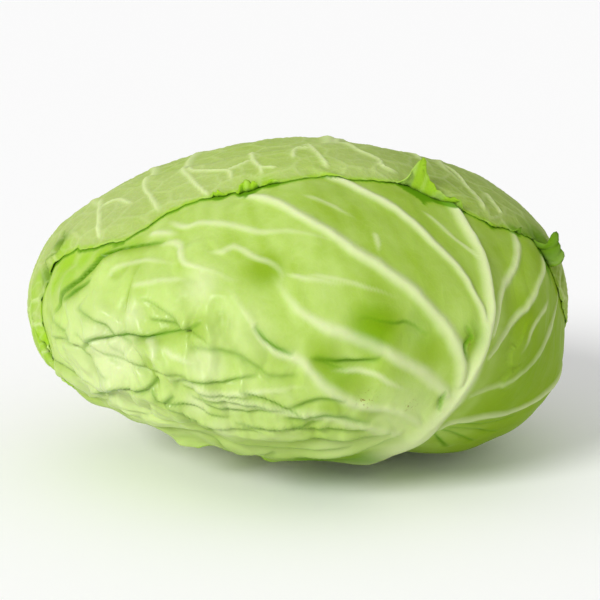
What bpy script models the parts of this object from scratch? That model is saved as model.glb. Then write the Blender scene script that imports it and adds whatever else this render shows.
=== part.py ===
"""A cabbage head: a cut stem, a tight inner head and four wrapper leaves.

The head stands on its cut stem at the origin, with +Z up. Its front, -Y, is
the wrapper leaf with the thick rib. A place on the head is a longitude, from
the front towards +X, and a latitude on a ball that is stretched to the head's
half sizes. A layer is raised from that form by a lift, in metres.
"""

import math

import bpy
import bmesh
import numpy as np
from mathutils import Vector
from mathutils.geometry import delaunay_2d_cdt

MM = 0.001
COLLECTION = "cabbage_head"

# The form that every layer follows
HALF_SIZE = np.array((118.0, 112.0, 69.0)) * MM
CENTRE_HEIGHT = 69.0 * MM
LOWEST_LEAF = 0.6 * MM
TALLEST_RIDGE = 5.0 * MM
UNDERSIDE_ROUNDING = 3.0 * MM
# Longitude, latitude and spread in degrees, then height in mm
SWELLINGS = (
    (-60, -55, 22, -12), (-90, -35, 22, 5), (-95, 30, 22, 3), (-60, 55, 22, -9),
    (0, 75, 26, 6), (60, 55, 22, -5), (95, 30, 22, 4), (90, 0, 22, -6),
    (90, -40, 22, 13), (60, -65, 20, 6), (-30, -70, 22, 6), (40, -60, 18, -9),
    (175, 5, 28, 3), (140, -35, 20, 4), (-140, -20, 22, -3), (-150, 45, 24, 3),
    (-92, -4, 24, -3),
)

# Where each layer lies against that form
HEAD_LIFT = -8.2 * MM
UNDER_LIFT = -5.0 * MM
FRONT_LOWEST = -2.4 * MM
FRONT_COVERED = 0.6 * MM
TOP_LIFT = 2.6 * MM
TOP_LIFT_ALONE = -0.4 * MM
HUG = 2.1 * MM
HEM_WIDE = 14.0 * MM
HEM_WAVE = 0.15 * MM
LOW_HEM_WAVE = 2.0 * MM
HEM_RISE = (-0.35, -0.05)
FRONT_THICK = 0.9 * MM
TOP_THICK = 0.9 * MM
UNDER_THICK = 0.9 * MM

# The wrappers fade from bare to covered over this much of a neighbour's edge
COVER_FADE = (-1.0 * MM, 9.0 * MM)
REST_FADE = (-16.0 * MM, -2.0 * MM)
UNDER_FADE = (-4.0 * MM, 4.0 * MM)

# Unevenness: shortest and longest wave, height and the draw's seed
FRONT_SWELL = (34.0 * MM, 60.0 * MM, 0.7 * MM, 3)
FRONT_PUCKER = (17.0 * MM, 30.0 * MM, 0.3 * MM, 4)
TOP_SWELL = (40.0 * MM, 70.0 * MM, 0.35 * MM, 8)
HEM_RIPPLE = (18.0 * MM, 30.0 * MM, 1.0, 9)
UNDER_SWELL = (30.0 * MM, 50.0 * MM, 0.25 * MM, 11)
WAVES = 14
# The crumpled part of the front leaf: longitude and latitude, inner and outer reach, height
CRUMPLE_PLACE = (-38, -24)
CRUMPLE_REACH = (30.0 * MM, 75.0 * MM)
CRUMPLE_HEIGHT = 1.1 * MM
# Ragged edges: waves round the leaf with their phase, and their height
RAGS = ((23, 1.0), (37, 0.0), (61, 2.0))
RAG_HEIGHT = 0.5 * MM

# Spacing of the mesh
FINE = 8.6 * MM
COARSE = 14.0 * MM
RIB_STEP = 8.5 * MM
# Ribs wider than this, in mm, get feet at this many times their width
THICK_RIB = 2.9
RIB_FOOT = 1.25
FOLD_FOOT = 2.6 * MM
# Least room round the points of the mesh
EDGE_CLEAR = 3.5 * MM
RIB_CLEAR = 4.4 * MM
SPREAD_CLEAR = 4.4 * MM
CURL_CLEAR = 1.6 * MM
CURL_STEP = 2.0 * MM
WIDE_CURL = 5.0 * MM
# Kinds of triangulation, and the distance at which its points merge
TRIANGLES_ALL = 0
TRIANGLES_INSIDE = 1
MERGE = 1e-5
NUDGE = 0.5 * MM
# The seen part of the front leaf, as heights and depths of directions
SEEN_ABOVE = -0.75
SEEN_BEFORE = 0.35
SEEN_UNDER_TOP = 6.0 * MM
MARGIN_STEP = 6.0 * MM
NET_CELL = 19.0 * MM

STEM_RADIUS = 14.6 * MM
STEM_TOP = 12.4 * MM
STEM_BEVEL = 1.2 * MM
STEM_FLARE = 1.0 * MM

# Outlines of the leaves as longitudes and latitudes
FRONT_CENTRE = (15, -5)
FRONT_MARGIN = (
    (52, -80), (8, -80), (-8, -62), (-17, -51), (-27, -47), (-42, -51), (-60, -54),
    (-76, -50), (-88, -38), (-94, -20), (-92, 0), (-90, 22), (-86, 42), (-76, 58),
    (-55, 68), (-20, 76), (20, 78), (60, 74), (85, 62), (100, 46), (112, 28),
    (119, 8), (121, -12), (117, -32), (107, -50), (88, -66),
)
TOP_CENTRE = (180, 62)
TOP_MARGIN = (
    (-60, -13), (-62, -6), (-65, 3), (-64, 12), (-64, 20), (-62, 26), (-55, 29),
    (-48, 33), (-44, 40), (-43, 46), (-38, 51), (-33, 55), (-24, 58), (-15, 60),
    (-6, 61), (9, 64), (21, 62), (33, 61), (45, 58), (48, 54), (52, 48), (56, 41),
    (61, 37), (67, 33), (73, 28), (74, 22), (71, 16), (69, 8), (74, 0), (86, -10),
    (100, -20), (114, -33), (128, -47), (142, -62), (158, -74), (170, -80),
    (-170, -80), (-158, -74), (-142, -64), (-125, -55), (-105, -46), (-90, -36), (-76, -25),
)
LEFT_CENTRE = (-78, -32)
LEFT_MARGIN = (
    (-92, -80), (-58, -80), (-34, -70), (-10, -58), (-10, -42), (-28, -24), (-52, -6), (-78, 4),
    (-105, 0), (-126, -14), (-140, -32), (-148, -50), (-142, -66), (-116, -75),
)
RIGHT_CENTRE = (120, -32)
RIGHT_MARGIN = (
    (96, -80), (76, -70), (64, -52), (66, -32), (78, -10), (98, 4), (122, 8),
    (146, 0), (164, -16), (172, -36), (168, -56), (152, -70), (132, -80),
)

# Ribs: route, then width and height in mm at the root and at the tip
KEEL = ((30, -78), (28, -58), (27, -44), (30, -28), (34, -15), (36, -3), (38, 8),
        (40, 20), (43, 30), (47, 39), (52, 48))
FRONT_RIBS = (
    (KEEL, (7.0, 2.8), (5.0, 2.8)),
    (((31, -33), (21, -21), (12, -16), (5, -9), (0, 0), (-6, 5), (-10, 14), (-17, 26)),
     (3.4, 1.8), (1.8, 0.7)),
    (((33, -20), (28, -11), (23, -2), (12, 8), (1, 15), (-7, 30)), (3.0, 1.6), (1.6, 0.6)),
    (((33, -12), (32, -3), (29, 8), (23, 21), (13, 34), (1, 46), (-14, 54), (-27, 55)),
     (4.0, 2.2), (2.6, 1.5)),
    (((38, 4), (38, 14), (35, 27), (32, 40), (27, 52), (16, 64)), (3.2, 2.0), (2.0, 1.2)),
    (((22, -31), (8, -21), (-4, -17), (-18, -12), (-30, -6)), (3.2, 1.8), (1.6, 0.8)),
    (((41, 4), (45, 14), (54, 22), (63, 30), (72, 37)), (3.0, 1.8), (1.6, 0.9)),
    (((40, -4), (49, 6), (60, 15), (70, 22), (78, 28)), (3.2, 1.8), (1.8, 0.9)),
    (((38, -18), (46, -16), (57, -9), (69, 1), (80, 12)), (3.2, 1.8), (1.6, 0.9)),
    (((35, -32), (46, -30), (60, -30), (74, -25), (90, -14)), (3.6, 2.0), (2.0, 1.0)),
)
VALLEY_WIDE = 9.0 * MM
VALLEY_AWAY = 15.0 * MM
VALLEY_DEEP = 3.2 * MM
VALLEY_START = (0.05, 0.3)
VALLEY_END = (0.6, 1.0)

# Folds: route, then raised height, its spread, and the depth beyond the lip in mm.
# A positive height raises what lies on the left of the route as it runs.
FRONT_FOLDS = (
    (((-50, -1), (-43, 3), (-33, 6), (-25, 9), (-19, 12)), 1.6, 9.0, 2.2),
    (((-60, -27), (-50, -22), (-40, -14), (-32, -12), (-25, -8)), 1.6, 8.0, 2.2),
    (((-30, -35), (-22, -38), (-17, -44), (-9, -42)), 1.5, 8.0, 2.0),
    (((-8, -30), (3, -27), (10, -28), (20, -29)), 1.6, 8.0, 3.0),
    (((-3, -46), (2, -41), (8, -38), (15, -37), (22, -31)), 3.4, 9.0, 2.0),
    (((-62, 4), (-55, 13), (-51, 24), (-44, 33), (-37, 37)), 2.2, 8.0, 2.2),
)
# Dents: longitude and latitude, radius and depth in mm
FRONT_DENTS = ((-55, -15, 9, 1.6), (-45, -13, 8, 1.4), (-30, -4, 8, 1.4), (-44, -27, 9, 1.4),
               (-23, -23, 8, 2.0), (11, 3, 9, 1.2), (-8, -22, 9, -1.6), (-36, -20, 9, -1.8),
               (-52, -4, 10, -1.8), (-15, -31, 9, -1.8), (-62, -18, 9, -1.6))

TOP_RIBS = (
    (((180, -74), (180, -45), (180, -10), (178, 25), (172, 55), (90, 84), (12, 77), (14, 66)),
     (8.0, 2.0), (4.2, 0.9)),
    (((178, 20), (-160, 45), (-125, 62), (-95, 65), (-69, 63), (-47, 59), (-33, 54)),
     (3.2, 1.8), (1.6, 0.8)),
    (((180, 0), (-158, 22), (-128, 45), (-100, 56), (-67, 52), (-47, 46)), (3.2, 1.8), (1.6, 0.8)),
    (((180, -20), (-160, 0), (-132, 20), (-105, 36), (-76, 41), (-60, 32)), (3.2, 1.8), (1.6, 0.8)),
    (((180, -40), (-160, -24), (-130, -8), (-100, 8), (-78, 12)), (3.2, 1.8), (1.6, 0.8)),
    (((174, 48), (150, 72), (71, 82), (46, 73), (46, 67), (47, 60)), (3.2, 1.8), (1.6, 0.8)),
    (((178, 18), (158, 45), (120, 64), (92, 68), (78, 62), (60, 56)), (3.2, 1.8), (1.6, 0.8)),
    (((180, -4), (158, 22), (128, 45), (91, 60), (70, 50), (61, 41)), (3.2, 1.8), (1.6, 0.8)),
    (((180, -24), (160, 0), (130, 22), (100, 36), (80, 32)), (3.2, 1.8), (1.6, 0.8)),
    (((180, -44), (160, -26), (132, -8), (104, 4), (86, 4)), (3.2, 1.8), (1.6, 0.8)),
)
LEFT_RIBS = ((((-75, -78), (-76, -50), (-80, -20), (-86, 0)), (6.0, 2.0), (3.2, 0.8)),)
RIGHT_RIBS = ((((114, -78), (116, -50), (119, -20), (121, 4)), (6.0, 2.0), (3.2, 0.8)),)
NET_HEIGHT = 0.8 * MM
NET_WIDE = 2.0 * MM
NET_SEED = 5

# Curled stretches of the top leaf's margin: longitude, latitude, half length,
# band and bend radius in mm, turn in degrees
TOP_CURLS = (
    (-62, -6, 17, 6, 5.0, 60),
    (-64, 14, 6, 4, 3.0, 60),
    (-21, 58, 8, 6, 2.4, 135),
    (47, 57, 13, 15, 2.6, 138),
    (63, 36, 8, 4, 2.0, 100),
    (74, 25, 9, 9, 2.8, 165),
    (69, 9, 6, 4, 2.4, 90),
)

# Ribs and overlaps of the tight inner head
INNER_RIBS = tuple((((lon, -70), (lon + 8, -30), (lon + 14, 10), (lon + 26, 50)),
                    (6.0, 2.5), (2.0, 0.8)) for lon in range(-170, 190, 72))
INNER_FOLDS = tuple((((lon, -62), (lon + 30, -25), (lon + 44, 15), (lon + 40, 55)),
                     1.2, 14.0, 0.9) for lon in range(-150, 210, 72))

# Base colour and roughness
FINISHES = {
    "stem": ((0.74, 0.76, 0.52), 0.6),
    "packed_head": ((0.52, 0.66, 0.24), 0.45),
    "front_leaf": ((0.42, 0.62, 0.16), 0.38),
    "top_leaf": ((0.36, 0.50, 0.17), 0.55),
    "left_under_leaf": ((0.42, 0.57, 0.19), 0.45),
    "right_under_leaf": ((0.40, 0.56, 0.18), 0.45),
}


def aim(lon, lat):
    """Unit direction from the head's centre to a longitude and latitude in degrees."""
    lon, lat = math.radians(lon), math.radians(lat)
    ball = np.array((math.sin(lon) * math.cos(lat), -math.cos(lon) * math.cos(lat), math.sin(lat)))
    return unit(ball * HALF_SIZE)


def unit(rows):
    """Rows scaled to length 1."""
    return rows / np.linalg.norm(rows, axis=-1, keepdims=True)


def ramp(value, low, high):
    """Smooth step from 0 at low to 1 at high."""
    t = np.clip((value - low) / (high - low), 0.0, 1.0)
    return t * t * (3.0 - 2.0 * t)


def reach(way):
    """Distance from the centre to the plain stretched ball along unit directions."""
    return 1.0 / np.linalg.norm(way / HALF_SIZE, axis=1)


def form(way, lift):
    """Points on the head's form along unit directions, raised by lift."""
    far = reach(way)
    ball = way / HALF_SIZE * far[:, None]
    for lon, lat, spread, height in SWELLINGS:
        middle = unit(aim(lon, lat) / HALF_SIZE)
        away = np.degrees(np.arccos(np.clip(ball @ middle, -1.0, 1.0)))
        far = far + height * MM * np.exp(-0.5 * (away / spread) ** 2)
    far = far + lift
    down = np.maximum(-way[:, 2], 1e-3)
    floor = (CENTRE_HEIGHT - LOWEST_LEAF - np.maximum(TALLEST_RIDGE - lift, 0.0)) / down
    least = np.minimum(far, floor)
    rounded = least - UNDERSIDE_ROUNDING * np.log(
        np.exp(-(far - least) / UNDERSIDE_ROUNDING) + np.exp(-(floor - least) / UNDERSIDE_ROUNDING))
    far = np.where(way[:, 2] < 0.0, rounded, far)
    return way * far[:, None] + np.array((0.0, 0.0, CENTRE_HEIGHT))


def route(places, step=2.0 * MM):
    """Smooth line of unit directions through longitudes and latitudes."""
    knots = np.array([aim(lon, lat) for lon, lat in places])
    knots = np.vstack((2 * knots[0] - knots[1], knots, 2 * knots[-1] - knots[-2]))
    line = []
    for a, b, c, d in zip(knots, knots[1:], knots[2:], knots[3:]):
        span = np.linalg.norm(c - b) * HALF_SIZE[0]
        count = max(2, round(span / step))
        for t in np.arange(count) / count:
            line.append(0.5 * (2 * b + (c - a) * t + (2 * a - 5 * b + 4 * c - d) * t ** 2
                               + (3 * b - a - 3 * c + d) * t ** 3))
    line.append(knots[-2])
    return unit(np.array(line))


def nearest(way, start, run):
    """Distance in metres from directions to the nearest of some short runs, which, and how far."""
    t = np.einsum("ijk,jk->ij", way[:, None] - start, run) / (run ** 2).sum(1)
    t = np.clip(t, 0.0, 1.0)
    away = np.linalg.norm(way[:, None] - start - t[:, :, None] * run, axis=2)
    pick = away.argmin(1)
    rows = np.arange(len(way))
    return away[rows, pick] * reach(way), pick, t[rows, pick]


def measure(way, line):
    """Distance in metres from directions to a line, its side (left is +1) and how far along."""
    start, run = line[:-1], np.diff(line, axis=0)
    away, pick, t = nearest(way, start, run)
    side = np.sign(np.einsum("ij,ij->i", way, np.cross(start[pick], run[pick])))
    return away, side, (pick + t) / len(run)


def ribs_lift(way, ribs):
    """Height of the ribs, as rounded ridges that thin towards their tips."""
    lift = np.zeros(len(way))
    for places, wide, tall in ribs:
        away, _, along = measure(way, route(places))
        width = (wide[0] + (wide[1] - wide[0]) * along) * MM
        height = (tall[0] + (tall[1] - tall[0]) * along) * MM
        lift = np.maximum(lift, height * np.exp(-(away / width) ** 2))
    return lift


def folds_lift(way, folds):
    """Height of the folds: a raised lip on one side and a crease on the other."""
    lift = np.zeros(len(way))
    for places, tall, spread, deep in folds:
        away, side, along = measure(way, route(places))
        fade = np.sqrt(np.clip(np.sin(math.pi * along), 0.0, 1.0))
        lip = tall * np.exp(-(away / MM) / spread)
        crease = -deep * np.exp(-((away / MM - 2.5) / 3.0) ** 2)
        slope = tall + (crease - tall) * ramp(away / MM, 0.0, 2.5)
        lift = lift + MM * fade * np.where(side > 0, lip, slope)
    return lift


def ripples(way, kind):
    """Repeatable unevenness of a kind: waves in random directions, added up."""
    shortest, longest, height, seed = kind
    draw = np.random.default_rng(seed)
    place = form(way, 0.0)
    total = np.zeros(len(way))
    for _ in range(WAVES):
        wave = 2 * math.pi / draw.uniform(shortest, longest)
        total += np.sin(place @ (unit(draw.normal(size=3)) * wave) + draw.uniform(0, 2 * math.pi))
    return total * height * 1.2 / math.sqrt(WAVES)


class Outline:
    """A leaf's edge, as an angle from its centre for each bearing round that centre."""

    def __init__(self, centre, places, curls=()):
        self.pole = aim(*centre)
        self.east = unit(np.cross((0.0, 0.0, 1.0), self.pole))
        self.north = np.cross(self.pole, self.east)
        bearing, angle = self.polar(np.array([aim(*place) for place in places]))
        order = np.argsort(bearing)
        self.bearings, self.angles = bearing[order], angle[order]
        self.curls = []
        for lon, lat, half, band, bend, turn in curls:
            bearing, angle = self.polar(aim(lon, lat)[None])
            self.curls.append((bearing[0], half * MM, band * MM, bend * MM, math.radians(turn)))

    def polar(self, way):
        """Bearing and angle of directions as the centre sees them."""
        x, y = way @ self.east, way @ self.north
        return np.arctan2(y, x), np.arccos(np.clip(way @ self.pole, -1.0, 1.0))

    def direction(self, bearing, angle):
        """Unit directions at bearings and angles."""
        out = np.cos(bearing)[:, None] * self.east + np.sin(bearing)[:, None] * self.north
        return np.cos(angle)[:, None] * self.pole + np.sin(angle)[:, None] * out

    def edge(self, bearing):
        """Angle of the ragged edge, or of the fold where it curls."""
        rag = sum(np.sin(count * bearing + phase) for count, phase in RAGS) * RAG_HEIGHT / HALF_SIZE[0]
        return np.interp(bearing, self.bearings, self.angles, period=2 * math.pi) + rag

    def curl(self, bearing):
        """Width, bend radius and turn of the curled band at bearings."""
        angle = self.edge(bearing)
        far = reach(self.direction(bearing, angle)) * np.sin(angle)
        band, bend, turn = (np.zeros(len(bearing)) + start for start in (0.0, MM, 0.0))
        for middle, half, wide, radius, most in self.curls:
            away = np.abs((bearing - middle + math.pi) % (2 * math.pi) - math.pi) * far / half
            share = np.clip(1.0 - away ** 1.5, 0.0, 1.0)
            band = band + wide * share
            bend = np.where(share > 0, radius, bend)
            turn = np.where(share > 0, most * np.minimum(1.0, 2 * share), turn)
        return band, bend, turn

    def inside(self, way):
        """Distance in metres inside the edge along the bearing, negative outside."""
        bearing, angle = self.polar(way)
        return (self.edge(bearing) - angle) * reach(way)


def even_ways(step):
    """Directions spread evenly at a spacing measured at the head's widest."""
    count = round(4 * math.pi * (HALF_SIZE[0] / step) ** 2)
    index = np.arange(count) + 0.5
    height = 1.0 - 2.0 * index / count
    turn = index * math.pi * (1.0 + math.sqrt(5.0))
    flat = np.sqrt(1.0 - height ** 2)
    return np.column_stack((flat * np.cos(turn), flat * np.sin(turn), height))


def flatten(outline, way):
    """Directions laid flat about the leaf's centre without changing small shapes."""
    bearing, angle = outline.polar(way)
    out = np.tan(angle / 2.0)
    return np.column_stack((np.cos(bearing) * out, np.sin(bearing) * out))


def raise_flat(outline, flat):
    """Bearings and angles of flattened points."""
    bearing = np.arctan2(flat[:, 1], flat[:, 0])
    return bearing, 2.0 * np.arctan(np.hypot(flat[:, 0], flat[:, 1]))


class Net:
    """The raised net of small veins: seeds, and strands that run between them."""

    def __init__(self, outline):
        draw = np.random.default_rng(NET_SEED)
        seeds = even_ways(NET_CELL)
        seeds = unit(seeds + draw.normal(size=seeds.shape) * 0.2 * NET_CELL / HALF_SIZE[0])
        self.seeds = seeds[outline.inside(seeds) > -NET_CELL]
        flat = [Vector(point) for point in flatten(outline, self.seeds)]
        flat, _, faces, _, _, _ = delaunay_2d_cdt(flat, [], [], TRIANGLES_ALL, MERGE)
        middles = [sum((flat[i] for i in face), Vector((0, 0))) / 3 for face in faces]
        bearing, angle = raise_flat(outline, np.array([tuple(middle) for middle in middles]))
        self.knots = outline.direction(bearing, angle)
        owners = {}
        for number, face in enumerate(faces):
            for pair in zip(face, face[1:] + face[:1]):
                owners.setdefault(frozenset(pair), []).append(number)
        self.strands = np.array(sorted(pair for pair in owners.values() if len(pair) == 2))

    def lift(self, way):
        """Height of the strands."""
        start, end = self.knots[self.strands].transpose(1, 0, 2)
        away = nearest(way, start, end - start)[0]
        return NET_HEIGHT * np.exp(-(away / NET_WIDE) ** 2)


FRONT = Outline(FRONT_CENTRE, FRONT_MARGIN)
TOP = Outline(TOP_CENTRE, TOP_MARGIN, TOP_CURLS)
LEFT = Outline(LEFT_CENTRE, LEFT_MARGIN)
RIGHT = Outline(RIGHT_CENTRE, RIGHT_MARGIN)
TOP_NET = Net(TOP)


def front_lift(way):
    """Lift of the front leaf: ribs, the valley by the keel, folds, dents and puckers."""
    away, side, along = measure(way, route(KEEL))
    valley = np.exp(-((away - VALLEY_AWAY) / VALLEY_WIDE) ** 2) * (side < 0)
    lift = ribs_lift(way, FRONT_RIBS)
    lift -= VALLEY_DEEP * valley * ramp(along, *VALLEY_START) * (1.0 - ramp(along, *VALLEY_END))
    lift += folds_lift(way, FRONT_FOLDS)
    for lon, lat, radius, deep in FRONT_DENTS:
        away = np.linalg.norm(way - aim(lon, lat), axis=1) * reach(way) / (radius * MM)
        lift -= deep * MM * np.exp(-away ** 2)
    away = np.linalg.norm(way - aim(*CRUMPLE_PLACE), axis=1) * reach(way)
    crumple = 1.0 + (1.0 - ramp(away, *CRUMPLE_REACH)) * CRUMPLE_HEIGHT / FRONT_PUCKER[2]
    lift += ripples(way, FRONT_SWELL) + ripples(way, FRONT_PUCKER) * crumple
    lift = np.maximum(lift, FRONT_LOWEST)
    covered = ramp(TOP.inside(way), *COVER_FADE)
    return lift + covered * (np.minimum(lift, FRONT_COVERED) - lift)


def top_lift(way):
    """Lift of the top leaf: it lies on the front leaf, and lower where it is alone."""
    over = ramp(FRONT.inside(way), *REST_FADE)
    lift = TOP_LIFT_ALONE + over * (np.maximum(TOP_LIFT, front_lift(way) + HUG) - TOP_LIFT_ALONE)
    lift = lift + np.maximum(ribs_lift(way, TOP_RIBS), TOP_NET.lift(way)) + ripples(way, TOP_SWELL)
    hem = 1.0 - ramp(TOP.inside(way), 0.0, HEM_WIDE)
    low = 1.0 - ramp(way[:, 2], *HEM_RISE)
    return lift + hem * (HEM_WAVE + LOW_HEM_WAVE * low) * (1.0 + ripples(way, HEM_RIPPLE))


def under_lift(ribs):
    """Lift of a leaf under the wrappers: its rib, which flattens where they cover it."""
    def lift(way):
        """Lift along unit directions."""
        covered = np.maximum(ramp(TOP.inside(way), *UNDER_FADE), ramp(FRONT.inside(way), *UNDER_FADE))
        return UNDER_LIFT + ribs_lift(way, ribs) * (1.0 - covered) + ripples(way, UNDER_SWELL)
    return lift


def spaced_line(places):
    """A route thinned to points about a rib's step apart."""
    line = route(places)
    travelled = np.concatenate(((0.0,), np.cumsum(
        np.linalg.norm(np.diff(line, axis=0), axis=1) * reach(line[1:]))))
    count = max(2, round(travelled[-1] / RIB_STEP))
    picks = np.searchsorted(travelled, np.linspace(0.0, travelled[-1], count + 1))
    return line[np.minimum(picks, len(line) - 1)]


def beside(line, start, end):
    """A line moved to its left by a distance that changes from start to end."""
    run = np.gradient(line, axis=0)
    left = unit(np.cross(line, run))
    shift = np.linspace(start, end, len(line)) / reach(line)
    return unit(line + left * shift[:, None])


def clearance(way, crowd):
    """Distance in metres from each direction to the nearest of a crowd, at the head's widest."""
    return np.array([np.linalg.norm(crowd - one, axis=1).min() for one in way]) * HALF_SIZE[0]


def rib_lines(ribs):
    """Middle line of each rib, with its two feet where the rib is thick."""
    groups = []
    for places, wide, _ in ribs:
        line = spaced_line(places)
        group = [line]
        if wide[0] > THICK_RIB:
            for side in (-1, 1):
                group.append(beside(line, side * RIB_FOOT * wide[0] * MM, side * RIB_FOOT * wide[1] * MM))
        groups.append(group)
    return groups


def fold_lines(folds):
    """Lip of each fold and the crease at its foot."""
    return [[line, beside(line, -FOLD_FOOT, -FOLD_FOOT)]
            for line in (spaced_line(fold[0]) for fold in folds)]


def edge_ways(outline):
    """Directions along a leaf's edge, about a margin's step apart."""
    bearing = np.linspace(-math.pi, math.pi, 2000)[:-1]
    fold = outline.edge(bearing)
    far = reach(outline.direction(bearing, fold))
    edge = outline.direction(bearing, fold + outline.curl(bearing)[0] / far)
    place = form(edge, 0.0)
    travelled = np.cumsum(np.linalg.norm(np.roll(place, -1, axis=0) - place, axis=1))
    marks = np.arange(0.0, travelled[-1] - MARGIN_STEP / 2, MARGIN_STEP)
    return edge[np.unique(np.searchsorted(travelled, marks))]


def curl_ways(outline):
    """Directions along the fold of each curl and across its band."""
    ways = []
    for middle, half, wide, _, _ in outline.curls:
        fold = outline.edge(np.array((middle,)))
        far = float(reach(outline.direction(np.array((middle,)), fold))[0] * math.sin(fold[0]))
        bearing = middle + np.linspace(-0.85, 0.85, max(2, round(half / CURL_STEP))) * half / far
        fold = outline.edge(bearing)
        band = outline.curl(bearing)[0]
        for share in (0.0, 0.33, 0.66) if wide > WIDE_CURL else (0.0,):
            angle = fold + share * band / reach(outline.direction(bearing, fold))
            ways.append(outline.direction(bearing, angle)[band * (1 - share) > CURL_CLEAR])
    return ways


def leaf_mesh(name, outline, lift, lines, spread):
    """Open mesh of a leaf: its edge, its ribs and folds as lines of edges, and spread points."""
    points = [edge_ways(outline)]
    total = len(points[0])
    rim = list(range(total))
    pairs = list(zip(rim, rim[1:] + rim[:1]))
    for group in lines:
        crowd = np.vstack(points)
        for line in group:
            kept = np.flatnonzero((outline.inside(line) > EDGE_CLEAR) & (clearance(line, crowd) > RIB_CLEAR))
            number = {old: total + new for new, old in enumerate(kept)}
            pairs += [(number[i], number[i + 1]) for i in kept if i + 1 in number]
            points.append(line[kept])
            total += len(kept)
    clear = clearance(spread, np.vstack(points)) > SPREAD_CLEAR
    points.append(spread[clear & (outline.inside(spread) > EDGE_CLEAR)])
    points += curl_ways(outline)

    flat = [Vector(point) for point in flatten(outline, np.vstack(points))]
    flat, _, faces, _, _, _ = delaunay_2d_cdt(flat, pairs, [rim], TRIANGLES_INSIDE, MERGE)
    bearing, angle = raise_flat(outline, np.array([tuple(point) for point in flat]))
    mesh = bpy.data.meshes.new(name)
    mesh.from_pydata(place_leaf(outline, lift, bearing, angle).tolist(), [], faces)
    return mesh


def place_leaf(outline, lift, bearing, angle):
    """Points of a leaf, with the band beyond a curl's fold bent up and over."""
    fold = outline.edge(bearing)
    band, bend, turn = outline.curl(bearing)
    way = outline.direction(bearing, angle)
    far = reach(way)
    beyond = np.clip((angle - fold) * far, 0.0, None)
    foot_way = outline.direction(bearing, np.minimum(angle, fold))
    foot = form(foot_way, lift(foot_way))
    nudged = outline.direction(bearing, np.minimum(angle, fold) + NUDGE / far)
    outward = unit(form(nudged, lift(foot_way)) - foot)
    across = unit(np.cross(outward, foot_way))
    up = np.cross(across, outward)
    up *= np.sign(np.einsum("ij,ij->i", up, foot_way))[:, None]
    arc = np.minimum(beyond / bend, turn)
    rest = np.maximum(beyond - bend * turn, 0.0)
    ahead = bend * np.sin(arc) + rest * np.cos(arc)
    above = bend * (1.0 - np.cos(arc)) + rest * np.sin(arc)
    return foot + outward * ahead[:, None] + up * above[:, None]


def finish(name):
    """Principled material of a piece."""
    colour, roughness = FINISHES[name]
    material = bpy.data.materials.new(name)
    material.use_nodes = True
    shader = material.node_tree.nodes["Principled BSDF"]
    shader.inputs["Base Color"].default_value = (*colour, 1.0)
    shader.inputs["Roughness"].default_value = roughness
    shader.inputs["Metallic"].default_value = 0.0
    return material


def add_object(name, mesh, collection):
    """Object with its finish, shaded smooth."""
    item = bpy.data.objects.new(name, mesh)
    collection.objects.link(item)
    mesh.materials.append(finish(name))
    mesh.shade_smooth()
    return item


def add_leaf(name, outline, lift, lines, spread, thick, collection):
    """A leaf: its open mesh made solid towards the head."""
    item = add_object(name, leaf_mesh(name, outline, lift, lines, spread), collection)
    solid = item.modifiers.new("thickness", "SOLIDIFY")
    solid.thickness = thick
    solid.offset = -1.0
    return item


def front_spread():
    """Spread points of the front leaf: fine where it is seen, coarse where it is covered."""
    def seen(way):
        """Whether directions lie on the bare front of the head."""
        return (TOP.inside(way) < SEEN_UNDER_TOP) & (way[:, 2] > SEEN_ABOVE) & (way[:, 1] < SEEN_BEFORE)

    fine, coarse = even_ways(FINE), even_ways(COARSE)
    return np.vstack((fine[seen(fine)], coarse[~seen(coarse)]))


def add_head(collection):
    """The tight inner head, with the ribs and overlaps of the leaves packed in it."""
    mesh = bpy.data.meshes.new("packed_head")
    ball = bmesh.new()
    bmesh.ops.create_icosphere(ball, subdivisions=4, radius=1.0)
    way = unit(np.array([tuple(vertex.co) for vertex in ball.verts]))
    lift = HEAD_LIFT + ribs_lift(way, INNER_RIBS) * 0.5 + folds_lift(way, INNER_FOLDS)
    for vertex, place in zip(ball.verts, form(way, lift)):
        vertex.co = place
    ball.to_mesh(mesh)
    ball.free()
    return add_object("packed_head", mesh, collection)


def add_stem(collection):
    """The cut stem, flat where the head rests on it."""
    mesh = bpy.data.meshes.new("stem")
    stem = bmesh.new()
    bmesh.ops.create_cone(stem, cap_ends=True, segments=36, radius1=STEM_RADIUS,
                          radius2=STEM_RADIUS + STEM_FLARE, depth=STEM_TOP)
    bmesh.ops.translate(stem, verts=stem.verts, vec=(0.0, 0.0, STEM_TOP / 2))
    stem.to_mesh(mesh)
    stem.free()
    item = add_object("stem", mesh, collection)
    bevel = item.modifiers.new("worn rim", "BEVEL")
    bevel.width = STEM_BEVEL
    bevel.segments = 2
    return item


def main():
    """Clear the scene and build the head."""
    for item in list(bpy.data.objects):
        bpy.data.objects.remove(item)
    collection = bpy.data.collections.new(COLLECTION)
    bpy.context.scene.collection.children.link(collection)
    add_stem(collection)
    add_head(collection)
    add_leaf("front_leaf", FRONT, front_lift, rib_lines(FRONT_RIBS) + fold_lines(FRONT_FOLDS),
             front_spread(), FRONT_THICK, collection)
    add_leaf("top_leaf", TOP, top_lift, rib_lines(TOP_RIBS),
             np.vstack((TOP_NET.knots, TOP_NET.seeds)), TOP_THICK, collection)
    for name, outline, ribs in (("left_under_leaf", LEFT, LEFT_RIBS),
                                ("right_under_leaf", RIGHT, RIGHT_RIBS)):
        add_leaf(name, outline, under_lift(ribs), rib_lines(ribs), even_ways(COARSE),
                 UNDER_THICK, collection)


main()
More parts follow.
